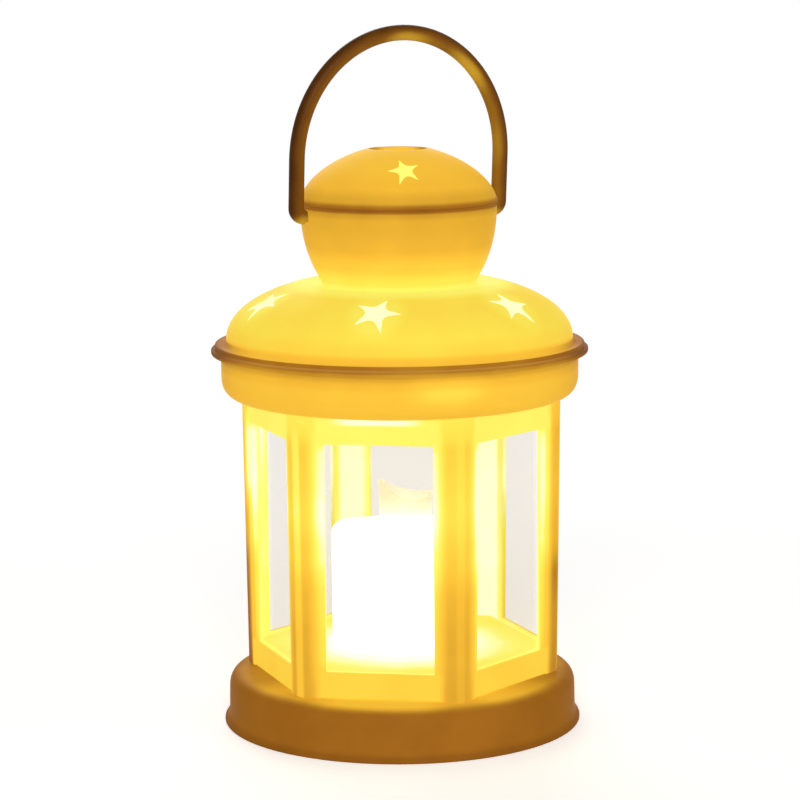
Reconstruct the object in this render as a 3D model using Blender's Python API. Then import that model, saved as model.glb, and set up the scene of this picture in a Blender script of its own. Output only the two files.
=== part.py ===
"""Decorative LED lantern, 100 mm across its rim and 186 mm tall with the bail up.

Metres, +Z up. The origin is at the middle of the resting face, and the bail's
pivot runs along X. Every length below is in millimetres and is scaled by MM.
"""

import math

import bmesh
import bpy
from mathutils import Matrix, Vector

MM = 0.001

# Fits, in mm
GAP = 0.3
RUNNING_GAP = 0.4
SCREW_GAP = 0.2
EDGE_EASE = 0.3

# Modelling allowances: how deep joined solids meet, and how far a cutter runs past a face
OVERLAP = 0.5
PAST = 1.0

# Base shell
BASE_RADIUS = 46.6
BASE_WALL = 1.8
BASE_SHOULDER = 3.9
BASE_HEIGHT = 13.5
FOOT_REACH = 1.3
FOOT_HEIGHT = 0.9
DECK_HOLE_RADIUS = 33.0

# Base plate with its battery well
PLATE_BOTTOM = 1.0
PLATE_THICKNESS = 2.4
CELL_DIAMETER = 10.5
CELL_LENGTH = 44.5
CELL_PITCH = 11.0
CELL_COUNT = 3
CELL_SIDE_ROOM = 0.5
CELL_SLACK = 0.1
CELL_CRIMP = 0.6
CELL_BUTTON_RADIUS = 1.9
CELL_BUTTON_HEIGHT = 1.0
SPRING_ROOM = 5.0
SPRING_SEAT = 0.2
SPRING_WIRE = 0.35
SPRING_TURNS = 3
SPRING_WIDE = 3.2
SPRING_NARROW = 2.0
TAB_ROOM = 1.3
CONTACT_THICKNESS = 0.4
CONTACT_HEIGHT = 8.4
CONTACT_SPACE = 1.4
WELL_WALL = 1.2
DOOR_THICKNESS = 1.4
DOOR_LEDGE = 1.6
TONGUE_REACH = 2.5
TONGUE_ROOT = 2.1
TONGUE_WIDTH = 6.0
TONGUE_THICKNESS = 1.0
TONGUE_BITE = 0.1
TONGUE_SWING = 1.3

# Screws
SCREW_SHANK = 2.5
SCREW_HEAD = 4.6
SCREW_HEAD_HEIGHT = 1.6
SCREW_LENGTH = 12.6
SCREW_EDGE = 0.4
SCREW_POINT_LENGTH = 1.2
SCREW_POINT_RADIUS = 0.3
SCREW_HEAD_SINK = 0.4
SCREW_INSET = 3.65
SCREW_COUNT = 3
SCREW_POST_RADIUS = 3.4
DOOR_SCREW_LENGTH = 4.6
DOOR_SCREW_HEAD_HEIGHT = 0.9
DOOR_SCREW_SINK = 0.6
DOOR_BOSS_RADIUS = 2.6
DOOR_BOSS_HEIGHT = 4.4
DOOR_BOSS_AWAY = 4.0
DOOR_EAR_RADIUS = 3.4
BOSS_ROOF = 1.0
BOSS_RECESS = 0.2
SLOT_WIDTH = 0.7
SLOT_DEPTH = 0.45

# Hexagonal body
BODY_CORNER_BOTTOM = 41.9
BODY_CORNER_TOP = 42.75
BODY_HEIGHT = 73.3
BODY_CAVITY_APOTHEM = 34.7
CORNER_FACET = 2.4
POST_FACE = 4.4
POST_PROUD = 0.5
WINDOW_WIDTH = 28.4
WINDOW_BOTTOM = 20.6
WINDOW_TOP = 80.4
PANE_THICKNESS = 0.8
PANE_LAP = 2.2
PANE_TOP_LAP = 3.0

# Tray that carries the candle
TRAY_TOP = 20.0
TRAY_THICKNESS = 1.6
TRAY_RING_HEIGHT = 1.0
TRAY_RING_WALL = 1.0
TRAY_HOLE_RADIUS = 2.6

# Candle, flame and lamp
CANDLE_RADIUS = 18.65
CANDLE_WALL = 1.3
CANDLE_TOP = 52.0
CANDLE_EDGE = 1.6
CANDLE_DISH = 1.4
CANDLE_DISH_SLOPE = 0.3
CANDLE_LIP_WIDTH = 3.4
FLAME_RADIUS = 7.4
FLAME_WALL = 0.8
FLAME_TOP = 62.1
FLAME_FLARE = 0.8
FLAME_WAVE = 1.7
FLAME_SECOND_WAVE = 0.7
FLAME_TIP_ANGLE = 160.0
FLAME_STEM_RADIUS = 4.4
LAMP_RADIUS = 2.5
LAMP_LENGTH = 8.6
LAMP_FLANGE = 0.4
LAMP_FLANGE_HEIGHT = 1.0
LAMP_POST_RADIUS = 3.4
LAMP_POST_TOP = 45.0
LAMP_POST_BORE = 2.2
LAMP_FOOT_REACH = 2.4
LAMP_FOOT_HEIGHT = 1.2
WIRE_RADIUS = 0.45
WIRE_SPREAD = 1.0
WIRE_STEP_COUNT = 6

# Band under the roof
BAND_RADIUS = 47.4
BAND_ROUND = 4.9
BAND_WALL = 1.8
BAND_MOUTH_RADIUS = 33.0
LIP_EASE = 0.4
BAND_HEIGHT = 12.3
LOWER_LIP_REACH = 2.6
LOWER_LIP_THICKNESS = 1.2

# Roof: shoulder dome with the neck bowl above it
UPPER_LIP_REACH = 2.9
UPPER_LIP_THICKNESS = 1.1
ROOF_WALL = 1.6
ROOF_SPIGOT_DEPTH = 5.0
DOME_RADIUS = 46.1
DOME_RISE = 18.4
DOME_POWER = 2.25
DOME_CREST_RADIUS = 26.0
NECK_RADIUS = 20.6
NECK_HEIGHT = 117.9
BOWL_RADIUS = 25.95
BOWL_TOP = 138.8
BOWL_BELOW_NECK = 10.1
BOWL_POWER = 2.14
RIM_STEP_HEIGHT = 1.8
RIM_STEP_EASE = 0.4
RIM_STEP_WALL = 1.3
RIM_STEP_DEPTH = 1.6

# Cap
CAP_RADIUS = 26.05
CAP_WALL = 1.5
CAP_RISE = 15.4
CAP_POWER = 1.75
CAP_BEAD = 0.15
CAP_BEAD_HEIGHT = 0.9
CAP_BEAD_EASE = 0.2
VENT_RADIUS = 7.4
VENT_FLAT_RADIUS = 8.3
VENT_RISE = 0.1

# Stars cut through the roof and the cap
ROOF_STAR_RADIUS = 6.3
ROOF_STAR_DISTANCE = 37.05
ROOF_STAR_COUNT = 6
ROOF_STAR_TURN = 18.8
CAP_STAR_RADIUS = 4.4
CAP_STAR_DISTANCE = 18.5
CAP_STAR_COUNT = 3
CAP_STAR_HEADING = -106.0
CAP_STAR_TURN = 50.0
STAR_WAIST = 0.37
STAR_WAIST_SPREAD = 9.0
STAR_REACH = 7.0

# Bail
BAIL_RADIUS = 2.05
BAIL_HALF_SPAN = 28.55
BAIL_BEND = 2.15
BAIL_SPRING_LINE = 151.3
BAIL_APEX = 183.8
BAIL_LEAN = 4.9
PIVOT_HEIGHT = 136.4
PIVOT_PIN_RADIUS = 1.5
PIVOT_PIN_REACH = 2.6

# Slide switch
SWITCH_X = 29.5
SWITCH_Y = -10.0
SWITCH_LENGTH = 8.6
SWITCH_WIDTH = 3.8
SWITCH_HEIGHT = 3.6
SWITCH_TRAVEL = 2.0
SWITCH_CEILING = 1.0
SWITCH_WIRE_SPREAD = 1.2
KNOB_LENGTH = 2.4
KNOB_WIDTH = 1.8
KNOB_PROUD = 0.5

# Circuit board
BOARD_LENGTH = 20.0
BOARD_WIDTH = 14.0
BOARD_THICKNESS = 1.0
CHIP_X = -6.0
CHIP_FOOT_RADIUS = 2.2
CHIP_TOP_RADIUS = 1.8
CHIP_SHOULDER = 0.7
CHIP_HEIGHT = 0.9
RESISTOR_X = 6.0
RESISTOR_SIZE = (1.6, 3.2, 0.6)
BATTERY_WIRE_END_X = 4.0

# Smoothness
BIG_SEGMENT_COUNT = 48
MIDDLE_SEGMENT_COUNT = 32
SMALL_SEGMENT_COUNT = 16

PIVOT = (0.0, 0.0, PIVOT_HEIGHT)
SCREW_SEAT = PLATE_BOTTOM + SCREW_HEAD_HEIGHT + SCREW_HEAD_SINK
WELL_INNER_X = CELL_COUNT * CELL_PITCH / 2 + CELL_SIDE_ROOM
WELL_INNER_Y = (CELL_LENGTH + SPRING_ROOM + TAB_ROOM) / 2
DOOR_SCREW_Y = WELL_INNER_Y + WELL_WALL + DOOR_BOSS_AWAY
PLATE_TOP = PLATE_BOTTOM + PLATE_THICKNESS
DOOR_TOP = PLATE_BOTTOM + DOOR_THICKNESS - GAP
TONGUE_LOW = DOOR_TOP - TONGUE_BITE
TONGUE_HIGH = TONGUE_LOW + TONGUE_THICKNESS
CELL_HEIGHT = PLATE_TOP + GAP + CELL_DIAMETER / 2
WELL_CEILING = CELL_HEIGHT + CELL_DIAMETER / 2 + GAP
WELL_TOP = WELL_CEILING + WELL_WALL
CELL_SHIFT = (SPRING_ROOM - TAB_ROOM) / 2
CONTACT_Y = WELL_INNER_Y - GAP - CONTACT_THICKNESS / 2
BOARD_BOTTOM = WELL_TOP + GAP
BOARD_MIDDLE = BOARD_BOTTOM + BOARD_THICKNESS / 2
BOWL_DEPTH = BOWL_TOP - NECK_HEIGHT + BOWL_BELOW_NECK
CAP_BOTTOM = BOWL_TOP + GAP
FOOT_RADIUS = BASE_RADIUS + FOOT_REACH
BODY_BOTTOM = BASE_HEIGHT + GAP
BODY_TOP = BODY_BOTTOM + BODY_HEIGHT
SCREW_CIRCLE = BODY_CAVITY_APOTHEM / math.cos(math.radians(30)) - SCREW_INSET
BAND_BOTTOM = BODY_TOP + GAP
LOWER_LIP_RADIUS = BAND_RADIUS + LOWER_LIP_REACH
LOWER_LIP_BOTTOM = BAND_BOTTOM + BAND_HEIGHT
LOWER_LIP_TOP = LOWER_LIP_BOTTOM + LOWER_LIP_THICKNESS
ROOF_BOTTOM = LOWER_LIP_TOP + GAP
DOME_FOOT = ROOF_BOTTOM + UPPER_LIP_THICKNESS
UPPER_LIP_RADIUS = DOME_RADIUS + UPPER_LIP_REACH
TRAY_BOTTOM = TRAY_TOP - TRAY_THICKNESS
CANDLE_BOTTOM = TRAY_TOP + GAP
PLATE_RADIUS = BASE_RADIUS - BASE_WALL - GAP


def clear_scene():
    for item in list(bpy.data.objects):
        bpy.data.objects.remove(item)


def material(name, colour, roughness, metallic=0.0, alpha=1.0):
    made = bpy.data.materials.new(name)
    made.use_nodes = True
    shader = made.node_tree.nodes["Principled BSDF"]
    shader.inputs["Base Color"].default_value = (*colour, 1.0)
    shader.inputs["Roughness"].default_value = roughness
    shader.inputs["Metallic"].default_value = metallic
    shader.inputs["Alpha"].default_value = alpha
    return made


def finished(name, bm, look, place=(0.0, 0.0, 0.0), smooth=True):
    """Turns a bmesh in mm into a named object in metres, placed by its location."""
    bmesh.ops.remove_doubles(bm, verts=bm.verts, dist=1e-5)
    bmesh.ops.recalc_face_normals(bm, faces=bm.faces)
    bmesh.ops.scale(bm, vec=(MM, MM, MM), verts=bm.verts)
    mesh = bpy.data.meshes.new(name)
    bm.to_mesh(mesh)
    bm.free()
    if smooth:
        mesh.shade_smooth()
        mesh.set_sharp_from_angle(angle=math.radians(35))
    if look:
        mesh.materials.append(look)
    made = bpy.data.objects.new(name, mesh)
    made.location = Vector(place) * MM
    bpy.context.collection.objects.link(made)
    return made


def guide(made):
    """Marks an object as a cutter or a piece that another object takes in."""
    made.hide_render = True
    made.display_type = "WIRE"
    return made


def boolean(target, tool, operation):
    guide(tool)
    modifier = target.modifiers.new(tool.name, "BOOLEAN")
    modifier.operation = operation
    modifier.solver = "EXACT"
    modifier.object = tool


def cut(target, *tools):
    for tool in tools:
        boolean(target, tool, "DIFFERENCE")


def fuse(target, *tools):
    for tool in tools:
        boolean(target, tool, "UNION")


def lathe_mesh(profile, segments, lift=None):
    """Turns a closed (radius, height) outline about Z. lift(angle, height) raises a point."""
    bm = bmesh.new()
    rings = []
    for radius, height in profile:
        if radius < 1e-6:
            rings.append([bm.verts.new((0.0, 0.0, height))])
            continue
        ring = []
        for step in range(segments):
            angle = 2 * math.pi * step / segments
            rise = lift(angle, height) if lift else 0.0
            ring.append(bm.verts.new((radius * math.cos(angle), radius * math.sin(angle), height + rise)))
        rings.append(ring)
    for here, there in zip(rings, rings[1:] + rings[:1]):
        if len(here) == 1 and len(there) == 1:
            continue
        for step in range(segments):
            after = (step + 1) % segments
            corners = [here[step % len(here)], there[step % len(there)]]
            if len(there) > 1:
                corners.append(there[after])
            if len(here) > 1:
                corners.append(here[after])
            bm.faces.new(corners)
    return bm


def lathe(name, profile, look, segments=BIG_SEGMENT_COUNT, place=(0.0, 0.0, 0.0), lift=None):
    return finished(name, lathe_mesh(profile, segments, lift), look, place)


def prism_mesh(bottom, top, low, high):
    """A solid between two outlines with the same number of points."""
    bm = bmesh.new()
    floor = [bm.verts.new((x, y, low)) for x, y in bottom]
    roof = [bm.verts.new((x, y, high)) for x, y in top]
    bm.faces.new(list(reversed(floor)))
    bm.faces.new(roof)
    count = len(floor)
    for index in range(count):
        after = (index + 1) % count
        bm.faces.new((floor[index], floor[after], roof[after], roof[index]))
    return bm


def prism(name, outline, low, high, look=None, top=None, place=(0.0, 0.0, 0.0)):
    return finished(name, prism_mesh(outline, top or outline, low, high), look, place, smooth=False)


def rectangle(width, depth, x=0.0, y=0.0):
    return [
        (x - width / 2, y - depth / 2),
        (x + width / 2, y - depth / 2),
        (x + width / 2, y + depth / 2),
        (x - width / 2, y + depth / 2),
    ]


def box(name, size, centre, look=None):
    width, depth, height = size
    return prism(name, rectangle(width, depth), -height / 2, height / 2, look, place=centre)


def block(name, low, high, look=None):
    """A box between its lowest and its highest corner."""
    size = [end - start for start, end in zip(low, high)]
    centre = [(start + end) / 2 for start, end in zip(low, high)]
    return box(name, size, centre, look)


def cylinder(name, radius, low, high, x=0.0, y=0.0, look=None, segments=SMALL_SEGMENT_COUNT):
    return lathe(name, [(0, low), (radius, low), (radius, high), (0, high)], look, segments, (x, y, 0))


def arc(centre_radius, centre_height, radius, start, end, steps):
    """Points on an arc in the (radius, height) plane, angles in degrees."""
    points = []
    for step in range(steps + 1):
        angle = math.radians(start + (end - start) * step / steps)
        points.append((centre_radius + radius * math.cos(angle), centre_height + radius * math.sin(angle)))
    return points


def polar(radius, degrees):
    angle = math.radians(degrees)
    return radius * math.cos(angle), radius * math.sin(angle)


def sweep(name, points, radii, look, sides, place=(0.0, 0.0, 0.0)):
    """A round bar along points that lie in one vertical plane, with a radius at each."""
    bm = bmesh.new()
    rings = []
    across = Vector((0.0, 1.0, 0.0))
    for index, point in enumerate(points):
        before = points[max(index - 1, 0)]
        after = points[min(index + 1, len(points) - 1)]
        along = (Vector(after) - Vector(before)).normalized()
        inward = along.cross(across).normalized()
        ring = []
        for side in range(sides):
            angle = 2 * math.pi * side / sides
            offset = across * math.cos(angle) + inward * math.sin(angle)
            ring.append(bm.verts.new(Vector(point) + offset * radii[index]))
        rings.append(ring)
    for here, there in zip(rings, rings[1:]):
        for side in range(sides):
            after = (side + 1) % sides
            bm.faces.new((here[side], here[after], there[after], there[side]))
    bm.faces.new(rings[0])
    bm.faces.new(list(reversed(rings[-1])))
    return finished(name, bm, look, place)


def tube(name, points, radius, look, resolution=1):
    """A wire along points in mm: a curve with a round bevel and filled ends."""
    curve = bpy.data.curves.new(name, "CURVE")
    curve.dimensions = "3D"
    curve.bevel_depth = radius * MM
    curve.bevel_resolution = resolution
    curve.use_fill_caps = True
    spline = curve.splines.new("POLY")
    spline.points.add(len(points) - 1)
    for slot, point in zip(spline.points, points):
        slot.co = (*(Vector(point) * MM), 1.0)
    curve.materials.append(look)
    made = bpy.data.objects.new(name, curve)
    bpy.context.collection.objects.link(made)
    return made


def moved_by(mesh_object, matrix):
    """Turns a mesh about its own origin, so that its object keeps a plain placement."""
    mesh_object.data.transform(matrix)
    mesh_object.data.update()
    return mesh_object


def post_apothem(corner):
    """Distance of a post's face from the axis, from the distance of its corner facet."""
    virtual_corner = corner + CORNER_FACET / 2 * math.tan(math.radians(30))
    return virtual_corner * math.cos(math.radians(30))


def body_outline(corner):
    """Hexagon with a facet on each corner and posts that stand proud of the panels."""
    apothem = post_apothem(corner)
    panel = apothem - POST_PROUD
    half_side = apothem * math.tan(math.radians(30))
    facet_run = CORNER_FACET / 2 / math.cos(math.radians(30))
    post_edge = half_side - facet_run - POST_FACE
    points = []
    for face in range(6):
        normal = Vector((math.cos(math.radians(60 * face)), math.sin(math.radians(60 * face))))
        along = Vector((-normal.y, normal.x))
        run = (
            (apothem, -(half_side - facet_run)),
            (apothem, -post_edge),
            (panel, -post_edge),
            (panel, post_edge),
            (apothem, post_edge),
            (apothem, half_side - facet_run),
        )
        points.extend(tuple(normal * depth + along * side) for depth, side in run)
    return points


def hexagon(apothem):
    radius = apothem / math.cos(math.radians(30))
    return [polar(radius, 30 + 60 * corner) for corner in range(6)]


def dome_height(radius):
    """Height of the roof's outer skin between its foot and its crest."""
    return DOME_FOOT + DOME_RISE * (1 - (radius / DOME_RADIUS) ** DOME_POWER) ** (1 / DOME_POWER)


def bowl_radius(height):
    """Outer radius of the neck bowl."""
    return BOWL_RADIUS * (1 - ((BOWL_TOP - height) / BOWL_DEPTH) ** BOWL_POWER) ** (1 / BOWL_POWER)


def cap_point(angle, inset=0.0):
    """A point of the cap's skin, by a parameter from 0 at its foot to 90 at its crown."""
    turn = math.radians(angle)
    radius = (CAP_RADIUS - inset) * math.cos(turn) ** (2 / CAP_POWER)
    return radius, CAP_BOTTOM + (CAP_RISE - inset) * math.sin(turn) ** (2 / CAP_POWER)


def star_outline(radius):
    """Five thin tips joined by sides that curve in."""
    points = []
    for tip in range(5):
        angle = 72 * tip
        points.append(polar(radius, angle))
        points.append(polar(radius * STAR_WAIST, angle + 36 - STAR_WAIST_SPREAD))
        points.append(polar(radius * STAR_WAIST, angle + 36 + STAR_WAIST_SPREAD))
    return points


def star_cutter(name, radius, distance, height, heading, turn):
    """An upright star-shaped bar: the mould that forms these openings lifts straight up."""
    tool = prism(name, star_outline(radius), -STAR_REACH, STAR_REACH)
    moved_by(tool, Matrix.Rotation(math.radians(heading + turn), 4, "Z"))
    x, y = polar(distance, heading)
    tool.location = Vector((x, y, height)) * MM
    return tool


def hole_along_x(name, radius, reach, height, segments=SMALL_SEGMENT_COUNT):
    tool = lathe(name, [(0, -reach), (radius, -reach), (radius, reach), (0, reach)], None, segments)
    moved_by(tool, Matrix.Rotation(math.radians(90), 4, "Y"))
    tool.location = Vector((0, 0, height)) * MM
    return tool


def base_shell(looks):
    inner = BASE_RADIUS - BASE_WALL
    centre = BASE_RADIUS - BASE_SHOULDER
    shoulder = BASE_HEIGHT - BASE_SHOULDER
    profile = [(inner, 0), (FOOT_RADIUS - EDGE_EASE, 0), (FOOT_RADIUS, EDGE_EASE), (FOOT_RADIUS, FOOT_HEIGHT)]
    profile += [(BASE_RADIUS, FOOT_HEIGHT + EDGE_EASE)]
    profile += arc(centre, shoulder, BASE_SHOULDER, 0, 90, 5)
    profile += [(DECK_HOLE_RADIUS, BASE_HEIGHT), (DECK_HOLE_RADIUS, BASE_HEIGHT - BASE_WALL)]
    profile += arc(centre, shoulder, BASE_SHOULDER - BASE_WALL, 90, 0, 2)
    shell = lathe("base_shell", profile, looks["base"])
    low = BASE_HEIGHT - BASE_WALL - PAST
    for index in range(SCREW_COUNT):
        x, y = screw_place(index)
        hole = cylinder(f"deck_hole_{index + 1}", SCREW_SHANK / 2 + SCREW_GAP, low, BASE_HEIGHT + PAST, x, y)
        cut(shell, hole)
    return shell


def screw_place(index):
    return polar(SCREW_CIRCLE, 30 + 360 / SCREW_COUNT * index)


def base_plate(looks):
    disc = [(0, PLATE_BOTTOM), (PLATE_RADIUS, PLATE_BOTTOM), (PLATE_RADIUS, PLATE_TOP), (0, PLATE_TOP)]
    plate = lathe("base_plate", disc, looks["base"])
    outer_x = 2 * (WELL_INNER_X + WELL_WALL)
    outer_y = 2 * (WELL_INNER_Y + WELL_WALL)
    well = prism("battery_well", rectangle(outer_x, outer_y), PLATE_TOP - OVERLAP, WELL_TOP)
    fuse(plate, well)
    post_top = BASE_HEIGHT - BASE_WALL - GAP
    for index in range(SCREW_COUNT):
        x, y = screw_place(index)
        post_foot = PLATE_BOTTOM + OVERLAP
        fuse(plate, cylinder(f"screw_post_{index + 1}", SCREW_POST_RADIUS, post_foot, post_top, x, y))
    boss = (PLATE_TOP - OVERLAP, PLATE_TOP + DOOR_BOSS_HEIGHT, 0, DOOR_SCREW_Y)
    fuse(plate, cylinder("door_screw_boss", DOOR_BOSS_RADIUS, *boss, segments=12))
    inside = rectangle(2 * WELL_INNER_X, 2 * WELL_INNER_Y)
    hollow = prism("well_hollow", inside, PLATE_BOTTOM - PAST, WELL_CEILING)
    recess = prism("door_recess", door_outline(GAP), PLATE_BOTTOM - PAST, PLATE_BOTTOM + DOOR_THICKNESS)
    cut(plate, hollow, recess)
    for side, name in ((-1, "tongue_slot_left"), (1, "tongue_slot_right")):
        middle = side * WELL_INNER_X / 2
        half = TONGUE_WIDTH / 2 + GAP
        low = (middle - half, -WELL_INNER_Y - TONGUE_REACH - TONGUE_SWING, TONGUE_LOW - GAP)
        high = (middle + half, -WELL_INNER_Y + PAST, PLATE_TOP + PAST)
        cut(plate, block(name, low, high))
    bore = SCREW_SHANK / 2 + SCREW_GAP
    sink = SCREW_HEAD / 2 + SCREW_GAP
    top = post_top + PAST
    stepped = [(0, 0), (sink, 0), (sink, SCREW_SEAT), (bore, SCREW_SEAT), (bore, top), (0, top)]
    for index in range(SCREW_COUNT):
        x, y = screw_place(index)
        cut(plate, lathe(f"plate_bore_{index + 1}", stepped, None, 14, (x, y, 0)))
    bore_top = PLATE_TOP + DOOR_BOSS_HEIGHT - BOSS_ROOF
    cut(plate, cylinder("door_screw_bore", bore, 0, bore_top, 0, DOOR_SCREW_Y, segments=10))
    hole = (WIRE_RADIUS + GAP, WELL_CEILING - PAST, WELL_TOP + PAST)
    for side, name in ((-1, "wire_hole_negative"), (1, "wire_hole_positive")):
        cut(plate, cylinder(name, *hole, side * CELL_PITCH, side * CONTACT_Y, segments=8))
    slot_length = KNOB_LENGTH + SWITCH_TRAVEL + 2 * RUNNING_GAP
    slot = (slot_length, KNOB_WIDTH + 2 * RUNNING_GAP, PLATE_THICKNESS + 2 * PAST)
    cut(plate, box("switch_slot", slot, (SWITCH_X, SWITCH_Y, (PLATE_BOTTOM + PLATE_TOP) / 2)))
    return plate


def door_outline(clearance=0.0):
    """The battery door, with a round ear at +Y for its screw."""
    half_x = WELL_INNER_X + DOOR_LEDGE + clearance
    half_y = WELL_INNER_Y + DOOR_LEDGE + clearance
    ear = DOOR_EAR_RADIUS + clearance
    steps = SMALL_SEGMENT_COUNT // 2
    points = [(-half_x, -half_y), (half_x, -half_y), (half_x, half_y), (ear, half_y)]
    for step in range(steps + 1):
        points.append(tuple(Vector((0, DOOR_SCREW_Y)) + Vector(polar(ear, 180 * step / steps))))
    points += [(-ear, half_y), (-half_x, half_y)]
    return points


def battery_door(looks):
    hinge_y = -(WELL_INNER_Y + DOOR_LEDGE)
    outline = [(x, y - hinge_y) for x, y in door_outline()]
    origin = (0.0, hinge_y, PLATE_BOTTOM)
    door = prism("battery_door", outline, 0, DOOR_TOP - PLATE_BOTTOM, looks["base"], place=origin)
    for side, name in ((-1, "door_tongue_left"), (1, "door_tongue_right")):
        middle = side * WELL_INNER_X / 2
        low = (middle - TONGUE_WIDTH / 2, -WELL_INNER_Y - TONGUE_REACH, TONGUE_LOW)
        high = (middle + TONGUE_WIDTH / 2, -WELL_INNER_Y + TONGUE_ROOT, TONGUE_HIGH)
        fuse(door, block(name, low, high))
    bore = SCREW_SHANK / 2 + SCREW_GAP
    sink = SCREW_HEAD / 2 + SCREW_GAP
    seat = PLATE_BOTTOM + DOOR_SCREW_SINK
    low = PLATE_BOTTOM - PAST
    high = DOOR_TOP + PAST
    stepped = [(0, low), (sink, low), (sink, seat), (bore, seat), (bore, high), (0, high)]
    cut(door, lathe("door_hole", stepped, None, 14, (0, DOOR_SCREW_Y, 0)))
    return door


def screw(name, x, y, seat, length, head_height, looks):
    """A slotted screw that points up. Its head lies under the seat."""
    shank = SCREW_SHANK / 2
    head = SCREW_HEAD / 2
    low = seat - GAP / 2 - head_height
    shoulder = low + head_height
    tip = shoulder + length
    profile = [(0, low), (head - SCREW_EDGE, low), (head, low + SCREW_EDGE), (head, shoulder)]
    profile += [(shank, shoulder), (shank, tip - SCREW_POINT_LENGTH), (SCREW_POINT_RADIUS, tip), (0, tip)]
    made = lathe(name, profile, looks["steel"], 12, (x, y, 0))
    cut(made, box(f"{name}_slot", (SCREW_HEAD + PAST, SLOT_WIDTH, 2 * SLOT_DEPTH), (x, y, low)))
    return made


def screws(looks):
    for index in range(SCREW_COUNT):
        x, y = screw_place(index)
        screw(f"base_screw_{index + 1}", x, y, SCREW_SEAT, SCREW_LENGTH, SCREW_HEAD_HEIGHT, looks)
    seat = PLATE_BOTTOM + DOOR_SCREW_SINK
    screw("door_screw", 0, DOOR_SCREW_Y, seat, DOOR_SCREW_LENGTH, DOOR_SCREW_HEAD_HEIGHT, looks)


def cell_place(index):
    """The X of a cell's axis, and the way that its button points along Y."""
    return (index - (CELL_COUNT - 1) / 2) * CELL_PITCH, -1 if index % 2 else 1


def cells(looks):
    """Cells side by side, every other one turned end for end."""
    radius = CELL_DIAMETER / 2 - CELL_SLACK
    half = CELL_LENGTH / 2
    shoulder = half - CELL_BUTTON_HEIGHT
    for index in range(CELL_COUNT):
        x, flip = cell_place(index)
        profile = [(0, -half), (radius - CELL_CRIMP, -half), (radius, -half + CELL_CRIMP)]
        profile += [(radius, shoulder - CELL_CRIMP), (radius - CELL_CRIMP, shoulder)]
        profile += [(CELL_BUTTON_RADIUS, shoulder), (CELL_BUTTON_RADIUS, half), (0, half)]
        cell = lathe(f"battery_{index + 1}", profile, looks["cell"], SMALL_SEGMENT_COUNT)
        moved_by(cell, Matrix.Rotation(math.radians(-90 * flip), 4, "X"))
        cell.location = Vector((x, flip * CELL_SHIFT, CELL_HEIGHT)) * MM


def spring_points(x, direction):
    """A conical spring's wire: wide at the plate and narrow at the cell."""
    steps_a_turn = 8
    start = -direction * (WELL_INNER_Y - GAP - CONTACT_THICKNESS - SPRING_SEAT - SPRING_WIRE)
    length = SPRING_ROOM - GAP - CONTACT_THICKNESS - 2 * (SPRING_SEAT + SPRING_WIRE)
    count = SPRING_TURNS * steps_a_turn
    points = []
    for step in range(count + 1):
        share = step / count
        across, up = polar(SPRING_WIDE + (SPRING_NARROW - SPRING_WIDE) * share, 360 * step / steps_a_turn)
        points.append((x + across, start + direction * length * share, CELL_HEIGHT + up))
    return points


def contacts(looks):
    """Springs on the flat ends, and plates that join the cells in series."""
    for index in range(CELL_COUNT):
        spring = spring_points(*cell_place(index))
        tube(f"battery_spring_{index + 1}", spring, SPRING_WIRE, looks["steel"])
    single = CELL_PITCH - CONTACT_SPACE
    plates = (
        ("terminal_plate_negative", -CELL_PITCH, -1, single),
        ("bridge_plate_back", -CELL_PITCH / 2, 1, single + CELL_PITCH),
        ("bridge_plate_front", CELL_PITCH / 2, -1, single + CELL_PITCH),
        ("terminal_plate_positive", CELL_PITCH, 1, single),
    )
    for name, x, end, width in plates:
        size = (width, CONTACT_THICKNESS, CONTACT_HEIGHT)
        box(name, size, (x, end * CONTACT_Y, CELL_HEIGHT), looks["steel"])


def battery_wires(looks):
    """From each terminal plate up through the well's ceiling and along it to the board."""
    level = WELL_TOP + GAP + WIRE_RADIUS + SPRING_SEAT
    for side, name in ((-1, "battery_wire_negative"), (1, "battery_wire_positive")):
        x = side * CELL_PITCH
        start = side * CONTACT_Y
        board_edge = side * (BOARD_WIDTH / 2 + GAP)
        end_x = side * BATTERY_WIRE_END_X
        route = [
            (x, start, CELL_HEIGHT + CONTACT_HEIGHT / 2 + GAP),
            (x, start, WELL_CEILING + WELL_WALL / 2),
            (x, start - side * 0.5, level - 0.4),
            (x, start - side * 1.6, level),
            (x + (end_x - x) * 0.3, start + (board_edge - start) * 0.4, level),
            (x + (end_x - x) * 0.9, start + (board_edge - start) * 0.8, level),
            (end_x, board_edge + side * 1.5, BOARD_MIDDLE),
            (end_x, board_edge, BOARD_MIDDLE),
        ]
        tube(name, route, WIRE_RADIUS, looks["wire_red" if side > 0 else "wire_black"])


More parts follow.
